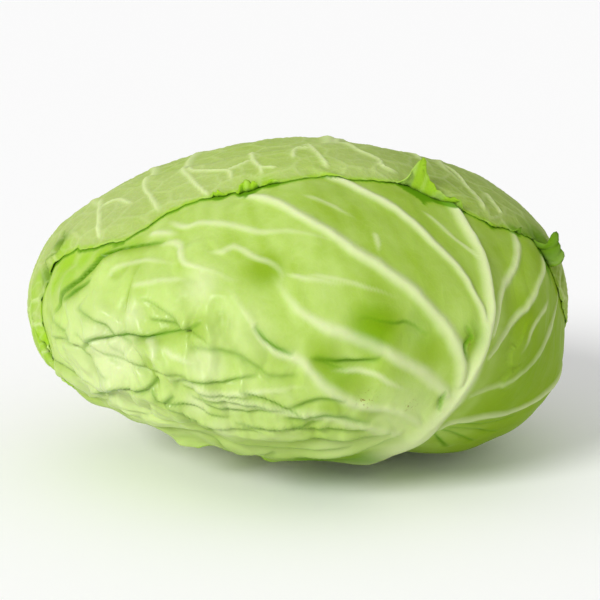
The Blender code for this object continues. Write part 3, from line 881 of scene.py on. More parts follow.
@dataclass(frozen=True)
class LeafFinish:
    """Skin of a cabbage leaf.

    Attributes:
        name: Name of the material.
        pale: Blade where it is thin or crumpled, and the painted highlight on crumpled ridges.
        blade: Blade between the ribs.
        deep: Darkest green of the blade, partly its own colour and partly painted shade.
        vein: Ribs and veins, and whitish patches that are partly painted highlights.
        crease: Painted shade in the folds' creases and under the top leaf's edge.
        margin: Edge and curled bands.
        rough: Roughness of the blade.
        coat: Weight of the wet-looking coat.
        net: Strength of the finest veins.
        bloom: Waxy bloom, on the leaves that have one.
        bloom_share: How much of the blade the bloom covers.
        speck: Brown specks where the skin is scuffed.
    """

    name: str
    pale: Colour
    blade: Colour
    deep: Colour
    vein: Colour
    crease: Colour
    margin: Colour
    rough: float
    coat: float
    net: float
    bloom: Optional[Colour] = None
    bloom_share: float = 0.0
    speck: Colour = (0.20, 0.13, 0.03)

    def material(self) -> bpy.types.Material:
        """Builds the skin.

        Returns:
            The material.
        """
        graph = Graph(
            self.name, Coat_Roughness=0.3, Coat_IOR=1.5, Specular_IOR_Level=0.01, Subsurface_Weight=0.12,
            Subsurface_Radius=(0.5, 1.0, 0.1), Subsurface_Scale=0.0025, IOR=1.42)
        vein, crease, margin = (graph.mark(mark) for mark in (Mark.VEIN, Mark.CREASE, Mark.MARGIN))
        crumple, deep, scuff = (graph.mark(mark) for mark in (Mark.CRUMPLE, Mark.DEEP, Mark.SCUFF))
        pale, streak = graph.mark(Mark.PALE), graph.mark(Mark.STREAK)
        bent = graph.warped(0.012, 0.004)
        cloud = graph.noise(0.045, 3.0, 0.55)
        patch = graph.noise(0.016, 3.0, 0.6, bent)
        mottle = graph.noise(0.009, 4.0, 0.6, bent)
        fine_net = graph.borders(0.0042, bent)
        finest_net = graph.borders(0.0016, bent)
        strand = 1.0 - fine_net.ramp(0.0, 0.14)
        hair = 1.0 - finest_net.ramp(0.0, 0.18)

        share = cloud.ramp(0.35, 0.65) * 0.3 + patch.ramp(0.4, 0.65) * 0.28 + mottle.ramp(0.3, 0.75) * 0.12
        share = share + streak * 0.4 - 0.08
        colour = graph.mix(share, self.blade, self.pale)
        # Crumpled parts are paler, and their ridge tops paler still as a painted highlight.
        colour = graph.mix((crumple * 0.8).most(pale), colour, self.pale)
        if self.bloom:
            dust = graph.noise(0.05, 3.0, 0.5, bent).ramp(0.3, 0.65)
            colour = graph.mix((0.4 + 0.6 * dust) * self.bloom_share, colour, self.bloom)
        colour = graph.mix(strand * self.net * 0.55 + hair * self.net * 0.3, colour, self.vein)
        colour = graph.mix(margin * (0.85 + 0.15 * mottle), colour, self.margin)
        # Darker green, partly the leaf's own and partly painted shade.
        colour = graph.mix(deep * (0.9 + 0.1 * mottle), colour, self.deep)
        # Ribs and veins, and whitish patches that are partly painted highlights.
        colour = graph.mix(vein ** 0.9 * (0.82 + 0.3 * mottle), colour, self.vein)
        # Painted shade in the creases and under the top leaf's edge.
        colour = graph.mix(crease ** 0.7, colour, self.crease)
        dots = graph.noise(0.0011, 2.0, 0.6).ramp(0.58, 0.7) * scuff
        colour = graph.mix(dots, colour, self.speck)
        graph.set("Base Color", colour)

        sheen = graph.noise(0.02, 3.0, 0.6)
        rough = self.rough + 0.16 * (sheen - 0.5) + 0.12 * vein + 0.15 * crease - 0.1 * crumple
        graph.set("Roughness", rough.most(0.15).least(0.9))
        graph.set("Coat Weight", (self.coat * (0.06 + 0.94 * crumple) * (0.4 + 1.2 * sheen)).least(1.0))

        pebble = graph.noise(0.0022, 3.0, 0.6)
        grain = graph.noise(0.0007, 2.0, 0.5)
        height = (strand * 0.9 + hair * 0.35) * (2.5 * self.net) + pebble * 0.8 + grain * 0.12
        graph.set("Normal", graph.bump(height, 0.35, 0.00035))
        return graph.material


@dataclass(frozen=True)
class StemFinish:
    """Moist cut stem with its woody ring."""

    name: str = "cut_stem"
    pith: Colour = (0.72, 0.74, 0.50)
    ring: Colour = (0.55, 0.56, 0.26)
    skin: Colour = (0.50, 0.60, 0.26)
    dry: Colour = (0.42, 0.33, 0.14)
    radius: float = 14.6 * MM

    def material(self) -> bpy.types.Material:
        """Builds the skin.

        Returns:
            The material.
        """
        graph = Graph(self.name, Subsurface_Weight=0.2, Subsurface_Radius=(1.0, 0.9, 0.4),
                      Subsurface_Scale=0.003)
        bent = graph.warped(0.006, 0.002)
        x, y, _ = bent.split()
        out = ((x * x + y * y) ** 0.5) / self.radius
        ring = out.ramp(0.58, 0.7) * (1.0 - out.ramp(0.78, 0.9))
        dust = graph.noise(0.003, 4.0, 0.65)
        fibres = graph.borders(0.0013, bent)
        colour = graph.mix(ring * (0.5 + 0.5 * dust), self.pith, self.ring)
        colour = graph.mix(out.ramp(0.93, 1.02), colour, self.skin)
        colour = graph.mix(dust.ramp(0.5, 0.8) * 0.55, colour, self.dry)
        colour = graph.mix((1.0 - fibres.ramp(0.0, 0.2)) * 0.3, colour, self.dry)
        graph.set("Base Color", colour)
        graph.set("Roughness", 0.45 + 0.25 * dust)
        graph.set("Normal", graph.bump(dust + fibres, 0.5, 0.0005))
        return graph.material


@dataclass(frozen=True)
class FloorFinish:
    """Plain pale paper."""

    name: str = "pale_paper"
    colour: Colour = (0.97, 0.97, 0.97)

    def material(self) -> bpy.types.Material:
        """Builds the paper.

        Returns:
            The material.
        """
        graph = Graph(self.name, Base_Color=self.colour, Roughness=0.9, Specular_IOR_Level=0.1)
        graph.set("Normal", graph.bump(graph.noise(0.002, 3.0), 0.05, 0.0001))
        return graph.material


FRONT_SKIN = LeafFinish(
    "front_leaf_skin", pale=(0.46, 0.61, 0.17), blade=(0.30, 0.45, 0.05), deep=(0.20, 0.33, 0.003),
    vein=(0.60, 0.67, 0.36), crease=(0.10, 0.26, 0.003), margin=(0.28, 0.50, 0.015),
    rough=0.38, coat=0.9, net=0.06)
TOP_SKIN = LeafFinish(
    "top_leaf_skin", pale=(0.42, 0.56, 0.14), blade=(0.30, 0.44, 0.05), deep=(0.17, 0.26, 0.02),
    vein=(0.56, 0.66, 0.30), crease=(0.08, 0.20, 0.004), margin=(0.28, 0.50, 0.015),
    bloom=(0.37, 0.45, 0.16), bloom_share=0.7, rough=0.55, coat=0.0, net=0.12)
UNDER_SKIN = LeafFinish(
    "under_leaf_skin", pale=(0.46, 0.62, 0.13), blade=(0.32, 0.50, 0.05), deep=(0.17, 0.34, 0.01),
    vein=(0.62, 0.70, 0.33), crease=(0.08, 0.20, 0.004), margin=(0.32, 0.54, 0.01),
    bloom=(0.40, 0.48, 0.22), bloom_share=0.25, rough=0.45, coat=0.15, net=0.25)
INNER_SKIN = LeafFinish(
    "inner_leaf_skin", pale=(0.62, 0.74, 0.32), blade=(0.50, 0.66, 0.20), deep=(0.30, 0.46, 0.07),
    vein=(0.74, 0.80, 0.48), crease=(0.16, 0.28, 0.02), margin=(0.44, 0.62, 0.14),
    rough=0.4, coat=0.2, net=0.3)


@dataclass
class Piece:
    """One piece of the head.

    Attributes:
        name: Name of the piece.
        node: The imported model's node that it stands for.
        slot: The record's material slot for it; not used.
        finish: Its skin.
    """

    name: str
    node: str
    slot: str
    finish: Union[LeafFinish, StemFinish]

    @staticmethod
    def carry(mesh: bpy.types.Mesh, marks: dict[Mark, Rows]) -> None:
        """Puts the marks on a mesh, for its finish.

        Args:
            mesh: The mesh.
            marks: The marks, one value for each of its points.
        """
        for mark, amount in marks.items():
            layer = mesh.attributes.new(mark.value, "FLOAT", "POINT")
            layer.data.foreach_set("value", np.clip(amount, 0.0, 1.0).astype(np.float32))

    def settle(self, mesh: bpy.types.Mesh) -> bpy.types.Object:
        """Puts a mesh in the scene as this piece and dresses it.

        Args:
            mesh: The finished mesh.

        Returns:
            The object, which rides on the head's body.
        """
        mesh.name = self.name
        item = bpy.data.objects.new(self.name, mesh)
        bpy.context.scene.collection.objects.link(item)
        mesh.materials.append(self.finish.material())
        mesh.shade_smooth()
        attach(item, BODY)
        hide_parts(self.node)
        return item


@dataclass
class Leaf(Piece):
    """A wrapper leaf: an outline filled with fine triangles and made solid towards the head.

    Attributes:
        outline: Its edge.
        thick: Thickness of the blade.
        margin_share: Thickness at the margin, as a share of the blade's.
        margin_wide: How far the leaf thins towards its margin.
        fine: Spacing of its mesh where it is seen.
        coarse: Spacing where another leaf covers it.
        edge_step: Spacing along its edge.
        curl_step: Spacing in its curled bands.

    The clear constants are shares of a spacing that points keep from the edge. The others are how
    far from the edge a curled band can reach, in how many levels the thickness is kept, and the
    width of the bright margin in a curl.
    """

    outline: Outline
    thick: float = 0.9 * MM
    margin_share: float = 0.6
    margin_wide: float = 5.0 * MM
    fine: float = 1.3 * MM
    coarse: float = 5.0 * MM
    edge_step: float = 1.1 * MM
    curl_step: float = 0.8 * MM

    FINE_CLEAR = 0.45
    COARSE_CLEAR = 0.6
    CURL_CLEAR = 0.5
    CURL_REACH = 30.0 * MM
    THICKNESS_LEVELS = 10
    CURL_MARGIN = 1.5 * MM

    def seen(self, way: Rows) -> Rows:
        """Whether directions lie where the leaf is seen."""
        return np.ones(len(way), bool)

    def relief(self, way: Rows, fine: bool = True) -> Relief:
        """Height and marks along directions.

        Args:
            way: Unit directions from the head's middle.
            fine: Whether the small features are wanted.

        Returns:
            What is pressed into the leaf.
        """
        raise NotImplementedError

    def spread(self) -> Rows:
        """Spreads the points inside the leaf's edge.

        Returns:
            Their directions.
        """
        fine, coarse = FORM.even_ways(self.fine), FORM.even_ways(self.coarse)
        clear, coarse_clear = self.fine * self.FINE_CLEAR, self.coarse * self.COARSE_CLEAR
        flat = [fine[(self.outline.inside(fine) > clear) & self.seen(fine)],
                coarse[(self.outline.inside(coarse) > coarse_clear) & ~self.seen(coarse)]]
        if self.outline.curls:
            dense = FORM.even_ways(self.curl_step)
            inside = self.outline.inside(dense)
            close = np.abs(inside) < self.CURL_REACH
            dense, inside = dense[close], inside[close]
            band = self.outline.curl(self.outline.polar(dense)[0])[0]
            chosen = (inside < clear) & (inside > -band + self.curl_step * self.CURL_CLEAR)
            flat.append(dense[chosen])
        return np.vstack(flat)

    def build(self) -> bpy.types.Object:
        """Makes the leaf.

        Returns:
            The object.
        """
        edge = self.outline.edge_ways(self.edge_step)
        rim = list(range(len(edge)))
        pairs = list(zip(rim, rim[1:] + rim[:1]))
        flat = [Vector(point) for point in self.outline.flatten(np.vstack((edge, self.spread())))]
        flat, _, faces, _, _, _ = delaunay_2d_cdt(flat, pairs, [rim], Fill.INSIDE.value, TINY)
        bearing, angle = self.outline.raised(np.array([tuple(point) for point in flat]))
        mesh = bpy.data.meshes.new(self.name)
        points, marks, inside = self.place(bearing, angle)
        mesh.from_pydata(points.tolist(), [], faces)
        self.carry(mesh, marks)
        item = self.settle(mesh)
        group = item.vertex_groups.new(name="thickness")
        share = self.margin_share + (1.0 - self.margin_share) * ramp(inside, 0.0, self.margin_wide)
        for level in range(self.THICKNESS_LEVELS + 1):
            rows = np.flatnonzero(np.round(share * self.THICKNESS_LEVELS) == level)
            if len(rows):
                group.add(rows.tolist(), level / self.THICKNESS_LEVELS, "REPLACE")
        solid = item.modifiers.new("thickness", "SOLIDIFY")
        solid.thickness = self.thick
        solid.offset = -1.0
        solid.vertex_group = group.name
        return item

    def place(self, bearing: Rows, angle: Rows) -> tuple[Rows, dict[Mark, Rows], Rows]:
        """Places the leaf's points, with the band beyond a curl's fold bent up and over.

        Args:
            bearing: Bearings of the points round the leaf's centre.
            angle: Their angles from that centre.

        Returns:
            Points, their marks, and their distance inside the edge.
        """
        outline = self.outline
        fold = outline.edge(bearing)
        band, bend, turn, crinkle = outline.curl(bearing)
        far = FORM.reach(outline.direction(bearing, angle))
        beyond = np.clip((angle - fold) * far, 0.0, None)
        foot_way = outline.direction(bearing, np.minimum(angle, fold))
        relief = self.relief(foot_way)
        foot = FORM.place(foot_way, relief.lift)
        nudged = outline.direction(bearing, np.minimum(angle, fold) + 0.5 * MM / far)
        outward = unit(FORM.place(nudged, relief.lift) - foot)
        across = unit(np.cross(outward, foot_way))
        up = np.cross(across, outward)
        up *= np.sign(np.einsum("ij,ij->i", up, foot_way))[:, None]
        arc = np.minimum(beyond / bend, turn)
        rest = np.maximum(beyond - bend * turn, 0.0)
        ahead = bend * np.sin(arc) + rest * np.cos(arc)
        above = bend * (1.0 - np.cos(arc)) + rest * np.sin(arc)
        share = beyond / np.maximum(band, MM)
        wave, sway = self.crinkles(bearing * FORM.half_size[0] / MM)
        above = above + crinkle * share * wave
        ahead = ahead + crinkle * share * sway
        points = foot + relief.shift + outward * ahead[:, None] + up * above[:, None]
        inside = (fold - angle) * far + band
        relief.add_mark(Mark.MARGIN, ramp(beyond, 0.0, self.CURL_MARGIN))
        return points, relief.marks, inside

    @staticmethod
    def crinkles(walk: Rows) -> tuple[Rows, Rows]:
        """Small waves up and down and to and fro, at distances in mm along an edge."""
        wave = np.sin(walk * 1.1 + 1.7 * np.sin(walk * 0.37)) + 0.6 * np.sin(walk * 2.3 + 1.0)
        return wave, 0.5 * np.sin(walk * 0.8 + 2.0)


FRONT_EDGE = Outline((15, -5), (
    (52, -80), (8, -80), (-8, -62), (-17, -51), (-27, -47), (-42, -51), (-60, -54),
    (-76, -50), (-88, -38), (-94, -20), (-92, 0), (-90, 22), (-86, 42), (-76, 58),
    (-55, 68), (-20, 76), (20, 78), (60, 74), (85, 62), (100, 46), (112, 28),
    (119, 8), (121, -12), (117, -32), (107, -50), (88, -66),
))
TOP_EDGE = Outline((180, 62), (
    (-63, -24), (-67, -14), (-69, -7), (-74, -1), (-71, 8), (-69, 14), (-70, 20), (-64, 27), (-56, 30),
    (-48, 34), (-47, 38), (-45, 46), (-39, 52), (-33, 55), (-24, 58), (-15, 60),
    (-6, 61), (9, 64), (21, 62), (33, 61), (45, 58), (48, 54), (52, 48), (56, 41),
    (61, 37), (67, 33), (73, 28), (74, 22), (74, 15), (75, 8), (79, 0), (88, -10),
    (100, -20), (114, -33), (128, -47), (142, -62), (158, -74), (170, -80),
    (-170, -80), (-158, -74), (-142, -64), (-125, -55), (-105, -46), (-90, -36), (-76, -25),
), (
    Curl(-20, 58, hump(6, 5.5), 1.5, 160, 0.8),
    Curl(-31, 56, hump(5, 2.6), 1.0, 130, 0.6),
    Curl(-11, 60, hump(5, 2.2), 0.9, 130, 0.4),
    Curl(47, 57, ((-8, 0), (-1, 11), (0, 14), (1.5, 10), (6, 4.5), (16, 3.0), (22, 0)), 1.3, 116, 0.6),
    Curl(60, 38, hump(3, 1.5), 0.8, 120, 0.4),
    Curl(67, 33, hump(3, 2.5), 1.0, 130, 0.5),
    Curl(75, 26, ((-5, 0), (-2.5, 12), (2.0, 17), (5, 0)), 3.7, 215, 1.2),
))
LEFT_EDGE = Outline((-78, -32), (
    (-92, -80), (-58, -80), (-34, -70), (-10, -58), (-10, -42), (-28, -24), (-52, -6), (-78, 4),
    (-105, 0), (-126, -14), (-140, -32), (-148, -50), (-142, -66), (-116, -75),
))
RIGHT_EDGE = Outline((120, -32), (
    (96, -80), (76, -70), (64, -52), (66, -32), (78, -10), (98, 4), (122, 8),
    (146, 0), (164, -16), (172, -36), (168, -56), (152, -70), (132, -80),
))

KEEL: Places = ((30, -78), (28, -58), (27, -44), (30, -28), (34, -15), (36.5, -3), (39.5, 8),
                (42.5, 20), (45, 30), (48, 39), (52, 48))


@dataclass(frozen=True)
class Pleats:
    """Short creases scattered over a part of a leaf. Places in degrees, sizes in mm.

    Attributes:
        lon: Between which longitudes they lie.
        lat: Between which latitudes.
        half: Half their length, in degrees.
        slope: How much they sink towards the root for their length.
        uneven: How much that varies.
        bow: How much their middle is out of line.
        tall, spread, deep, over, crease, dark: As a fold's, smallest and largest.
    """

    count: int = 20
    seed: int = 21
    lon: Pair = (-62.0, -4.0)
    lat: Pair = (-34.0, 12.0)
    half: Pair = (5.0, 10.0)
    slope: float = -0.35
    uneven: float = 3.0
    bow: float = 1.5
    tall: Pair = (0.4, 1.1)
    spread: Pair = (2.5, 5.0)
    deep: Pair = (0.8, 1.6)
    over: float = 0.7
    crease: Pair = (1.0, 1.5)
    dark: Pair = (0.2, 0.75)

    def folds(self) -> tuple[Fold, ...]:
        """Draws the creases.

        Returns:
            The folds, the same each time.
        """
        draw = np.random.default_rng(self.seed)
        made = []
        for _ in range(self.count):
            lon, lat, run = draw.uniform(*self.lon), draw.uniform(*self.lat), draw.uniform(*self.half)
            tilt = self.slope * run + draw.normal() * self.uneven
            bow = draw.normal() * self.bow
            places = ((lon - run, lat - tilt), (lon, lat + bow), (lon + run, lat + tilt))
            tall, spread, deep, crease, dark = (
                draw.uniform(*span) for span in (self.tall, self.spread, self.deep, self.crease, self.dark))
            made.append(Fold(places, tall, spread, deep, self.over, crease, dark))
        return tuple(made)


@dataclass(frozen=True)
class Facets:
    """Flat faces between sharp ridges and sharp hollows that fan out from a leaf's root.

    Attributes:
        ridges: Length and width of the ridges' pattern in mm, and which pattern.
        hollows: The same for the hollows.
        height: Height of both.
    """

    ridges: tuple[float, float, int]
    hollows: tuple[float, float, int]
    height: float


@dataclass
class FrontLeaf(Leaf):
    """The big glossy wrapper leaf with the thick keel.

    Attributes:
        lowest: Depth that no hollow passes.
        covered: Largest height under the top leaf.
        cover_fade: Distances inside the top leaf's edge over which the leaf sinks to that.
        valley: Width, distance from the keel and depth of the hollow to the keel's right.
        valley_start: Shares of the keel's length over which that hollow begins.
        valley_end: Shares over which it ends.
        margin: Distances inside the edge over which the bright margin ends.
        crumple_spot: Middle of the part where the ripples are higher.
        crumple_fade: Distances from there over which they fall to the blade's own.
        crumple_ripple: Height that they gain there, in mm.
        shadow: Strength of the dark line along the top leaf's edge.
        shadow_wide: Its width on the right and what it gains on the left, in mm.
        shadow_turn: Shares of the way to the right over which it changes between them.
        shadow_rise: Shares of the way up over which it appears.
        shadow_fade: Shares of its width over which it fades.
        shine: Strength of the bright line beside it.
        shine_fade: Distances over which that fades.
        free_fade: Distances inside the top leaf's edge over which the crumples begin.
        fan_root: Where the lines of the fan meet.
        fan_bend: Size of the fan's bends, which pattern, and how far it bends in mm.
        level: How much longer, less bent and narrower the level part's features are.
        level_band: Shares of the way up over which the level part turns into the fan.
        crumpled: Longitude, latitude, radius in mm and amount of each crumpled part.
        smooth: Share of the crumples that the rest of the blade gets.
        ridge_wide: Height of the fan's noise at which a ridge or a hollow ends.
        ridge_sharp: Power that sharpens them.
        stripes: Length and width in mm of the faint stripes, and which pattern.
        bare: How far under the top leaf, how low and how far back the fine mesh reaches.
    """

    FAN_GAP = 3.1
    LEVEL_GAP = 5.3

    fine: float = 1.19 * MM
    lowest: float = -2.4 * MM
    covered: float = 0.6 * MM
    cover_fade: Pair = (-1.0 * MM, 9.0 * MM)
    valley: tuple[float, float, float] = (9.0 * MM, 15.0 * MM, 3.2 * MM)
    valley_start: Pair = (0.05, 0.3)
    valley_end: Pair = (0.6, 1.0)
    margin: Pair = (0.5 * MM, 5.0 * MM)
    crumple_spot: Pair = (-38, -24)
    crumple_fade: Pair = (30.0 * MM, 75.0 * MM)
    crumple_ripple: float = 1.1
    broad_ripple: Ripple = Ripple(34.0, 60.0, 0.7, 3)
    small_ripple: Ripple = Ripple(17.0, 30.0, 0.3, 4)
    shadow: float = 0.9
    shadow_wide: Pair = (1.3, 1.0)
    shadow_turn: Pair = (-0.1, 0.1)
    shadow_rise: Pair = (0.1, 0.22)
    shadow_fade: Pair = (0.4, 1.0)
    shine: float = 0.6
    shine_fade: Pair = (1.0 * MM, 4.0 * MM)
    free_fade: Pair = (-9.0 * MM, -1.0 * MM)
    fan_root: Pair = (28, -70)
    fan_bend: tuple[float, int, float] = (26.0 * MM, 20, 5.0)
    level: tuple[float, float, float] = (2.2, 0.6, 0.7)
    level_band: Pair = (-0.42, -0.22)
    smooth: float = 0.08
    ridge_wide: float = 0.4
    ridge_sharp: float = 1.3
    stripes: tuple[float, float, int] = (60.0, 7.0, 7)
    bare: tuple[float, float, float] = (7.0 * MM, -0.8, 0.4)
    facets: Facets = Facets((25.0, 15.0, 1), (22.0, 13.0, 4), 2.2 * MM)
    small_facets: Facets = Facets((11.0, 6.0, 2), (10.0, 5.0, 5), 0.5 * MM)
    pleats: Pleats = Pleats()
    ribs: tuple[Rib, ...] = (
        Rib(KEEL[:8], (15.5, 0.9), (5.0, 1.0), (0.75, 0.8), 0.2, (0.4, 0.05)),
        Rib(KEEL[3:], (3.2, 2.1), (2.8, 2.6), (0.8, 0.95), taper=(0.0, 0.0)),
        Rib(((31, -33), (21, -21), (12, -16), (5, -9), (0, 0), (-6, 5), (-10, 14), (-17, 26)),
            (2.6, 1.5), (1.6, 0.7), (0.5, 0.9), 0.8),
        Rib(((33, -20), (28, -12), (22, -4), (12, 6), (1, 14), (-7, 28)), (2.6, 1.8), (1.6, 0.6),
            (0.6, 0.9), 0.8),
        Rib(((33, -12), (32, -3), (29, 8), (23, 21), (13, 34), (1, 46), (-14, 54), (-27, 55)),
            (2.8, 1.7), (2.2, 1.4), (0.7, 0.95), taper=(0.0, 0.15)),
        Rib(((38, 0), (38, 12), (36, 26), (32, 40), (26, 53), (12, 65), (2, 69)),
            (1.5, 2.4), (1.4, 1.6), (0.7, 1.2), taper=(0.0, 0.0)),
        Rib(((22, -31), (8, -21), (-4, -17), (-18, -12), (-30, -6)), (2.6, 1.5), (1.5, 1.1),
            (0.5, 0.8), 0.8),
        Rib(((41, 4), (45, 14), (54, 22), (63, 30), (72, 37)), (1.4, 1.3), (1.3, 0.8), (0.7, 0.8)),
        Rib(((40, -4), (49, 6), (60, 15), (70, 22), (78, 28)), (1.4, 1.2), (1.4, 0.8), (0.6, 0.8)),
        Rib(((38, -18), (46, -16), (57, -9), (69, 1), (80, 12)), (1.3, 1.2), (1.3, 0.8), (0.3, 0.8)),
        Rib(((35, -32), (46, -30), (60, -30), (74, -25), (90, -14)), (1.7, 1.3), (1.8, 1.0), (0.6, 0.8)),
    )
    folds: tuple[Fold, ...] = (
        Fold(((-49, -3), (-46, 1), (-41, 4), (-36, 6), (-31, 6), (-25, 9), (-19, 12)),
             1.5, 7.0, 2.2, 1.4, 1.5, 1.0),
        Fold(((-56, -24), (-48, -20), (-40, -14), (-33, -13), (-29, -8)), 1.4, 7.0, 2.2, 1.3, 1.5, 0.9),
        Fold(((-26, -35), (-21, -38), (-18, -45), (-12, -42), (-7, -39)), 1.4, 7.0, 2.0, 1.4, 1.6, 1.0),
        Fold(((-8, -31), (-1, -29), (4, -27), (10, -29), (20, -29)), 1.8, 8.0, 2.8, 2.0, 1.8, 1.0),
        Fold(((-12, -44), (-3, -43), (2, -40), (8, -38), (15, -37), (22, -31)), 3.2, 9.0, 2.0, 2.0, 1.8, 1.0),
        Fold(((-60, 6), (-58, 13), (-55, 19), (-52, 26), (-49, 31), (-42, 35), (-36, 37)),
             1.6, 5.0, 1.8, 1.4, 1.3, 1.0),
    )
    dents: tuple[Dent, ...] = tuple(Dent(*row) for row in (
        (-55, -15, 9, 1.6), (-45, -13, 8, 1.4), (-30, -4, 8, 1.4), (-44, -27, 9, 1.4),
        (-23, -23, 8, 2.0), (11, 3, 9, 1.2), (-8, -22, 9, -1.6), (-36, -20, 9, -1.8),
        (-52, -4, 10, -1.8), (-15, -31, 9, -1.8), (-62, -18, 9, -1.6),
    ))
    veins: tuple[Rib, ...] = tuple(
        Rib(places, (0.95 * wide[0], 0.95 * wide[1]), tall, pale, 0.5, (0.2, 0.5))
        for places, wide, tall, pale in (
            (((-44, 44), (-33, 42), (-28, 44), (-18, 43), (-11, 41), (-3, 41), (5, 39), (14, 34)),
             (1.6, 1.0), (0.7, 0.3), (0.8, 0.4)),
            (((-44, 38), (-32, 39)), (1.6, 1.4), (0.7, 0.5), (0.8, 0.5)),
            (((-38, 34), (-32, 36), (-28, 32), (-26, 29), (-21, 28), (-16, 26), (-10, 23)),
             (1.6, 1.2), (0.8, 0.5), (0.7, 0.7)),
            (((-46, 19), (-44, 25), (-39, 28), (-34, 29), (-26, 29)), (1.1, 1.1), (0.4, 0.4), (0.5, 0.5)),
            (((-38, 20), (-32, 22), (-25, 24), (-20, 23)), (1.1, 1.0), (0.4, 0.3), (0.6, 0.5)),
            (((-23, 34), (-18, 34), (-16, 36), (-11, 33), (-7, 31), (-4, 27), (-4, 23), (-2, 20)),
             (1.2, 1.3), (0.4, 0.5), (0.5, 0.7)),
            (((-4, 27), (4, 25), (12, 23)), (1.1, 0.9), (0.4, 0.2), (0.6, 0.3)),
            (((-28, 3), (-25, 0), (-22, -1), (-18, -3), (-14, -3)), (1.2, 1.2), (0.7, 0.6), (0.7, 0.6)),
            (((-32, 5), (-29, 3), (-28, -1), (-28, -7)), (1.3, 1.1), (0.8, 0.6), (0.6, 0.5)),
            (((-28, -8), (-21, -9), (-17, -11), (-11, -11), (-2, -9), (5, -10)),
             (1.4, 1.3), (0.7, 0.6), (0.7, 0.7)),
            (((5, -3), (9, -3), (12, -4), (15, -6), (19, -10), (24, -14)),
             (1.2, 1.2), (0.4, 0.5), (0.6, 0.7)),
            (((0, 27), (9, 25), (16, 21), (21, 18)), (0.9, 0.9), (0.3, 0.3), (0.4, 0.4)),
            (((0, 55), (9, 51), (14, 47), (16, 44)), (0.9, 0.9), (0.3, 0.3), (0.5, 0.4)),
            (((38, 47), (41, 37), (43, 29)), (0.9, 0.9), (0.3, 0.3), (0.5, 0.4)),
            (((19, 40), (18, 32)), (1.1, 0.9), (0.4, 0.3), (0.6, 0.4)),
            (((66, 8), (56, 3), (52, -3), (48, -6)), (1.2, 1.0), (0.5, 0.4), (0.7, 0.6)),
            (((72, 2), (62, -7), (53, -12), (48, -15)), (1.3, 1.1), (0.5, 0.4), (0.7, 0.6)),
            (((42, 24), (43, 29), (40, 39), (38, 47)), (0.9, 0.8), (0.3, 0.3), (0.6, 0.5)),
        ))
    wrinkles: tuple[Fold, ...] = tuple(Fold(*row) for row in (
        (((-8, 12), (-6, 8), (-3, 5), (-1, 3)), 0.8, 4.0, 1.2, 0.8, 1.6, 0.9),
        (((-3, -19), (4, -18), (9, -19), (15, -23)), 0.8, 5.0, 1.0, 0.6, 1.8, 0.6),
        (((-4, -15), (4, -12), (9, -13)), 0.6, 5.0, 0.9, 0.6, 1.8, 0.5),
        (((3, 3), (8, 2), (15, 1)), 1.0, 6.0, 1.6, 0.8, 1.8, 0.9),
        (((2, 2), (5, 1), (9, -2)), 0.6, 4.0, 0.9, 0.5, 1.5, 0.6),
        (((11, 14), (13, 14), (18, 12), (21, 12), (26, 7)), 0.6, 5.0, 0.9, 0.5, 1.6, 0.6),
        (((-30, -12), (-29, -16), (-26, -14)), 0.8, 3.0, 1.2, 0.6, 1.4, 0.7),
        (((-24, -21), (-23, -28), (-22, -30), (-19, -25)), 0.8, 3.0, 1.6, 0.6, 1.5, 0.9),
        (((-57, 11), (-54, 16), (-51, 20)), 0.8, 3.0, 1.2, 0.8, 1.4, 0.9),
        (((37, -36), (42, -41), (50, -48)), 0.9, 4.0, 1.4, 0.8, 1.3, 1.0),
        (((38, -34), (45, -38), (56, -44)), 0.7, 4.0, 1.2, 0.8, 1.2, 0.9),
        (((39, -33), (50, -36), (62, -40)), 0.5, 4.0, 1.0, 0.6, 1.1, 0.7),
        (((40, -31), (50, -33), (62, -33)), 0.3, 4.0, 0.8, 0.5, 1.1, 0.8),
        (((34, 8), (35, 3), (33, 1), (34, -3)), 0.4, 2.0, 1.0, 0.3, 1.0, 0.9),
        (((30, -14), (30, -18), (30, -22)), 0.3, 2.0, 1.0, 0.3, 1.0, 0.8),
        (((-12, -24), (-4, -23), (6, -24), (14, -26)), 0.9, 5.0, 1.2, 0.8, 1.3, 0.7),
        (((-16, -33), (-8, -35), (2, -35), (12, -34)), 0.7, 5.0, 1.0, 0.8, 1.3, 0.6),
        (((-22, -14), (-14, -17), (-5, -17)), 0.7, 4.0, 1.0, 0.7, 1.2, 0.6),
        (((-21, 4), (-13, 3), (-6, -3), (0, -4)), 0.4, 6.0, 1.0, 0.4, 2.0, 0.3),
    ))
    crumpled: tuple[tuple[float, float, float, float], ...] = (
        (-42, -14, 48, 1.0), (-18, -22, 40, 0.65), (-2, -38, 34, 0.35), (-26, 10, 28, 0.65),
        (-27, 24, 16, 0.6),
    )
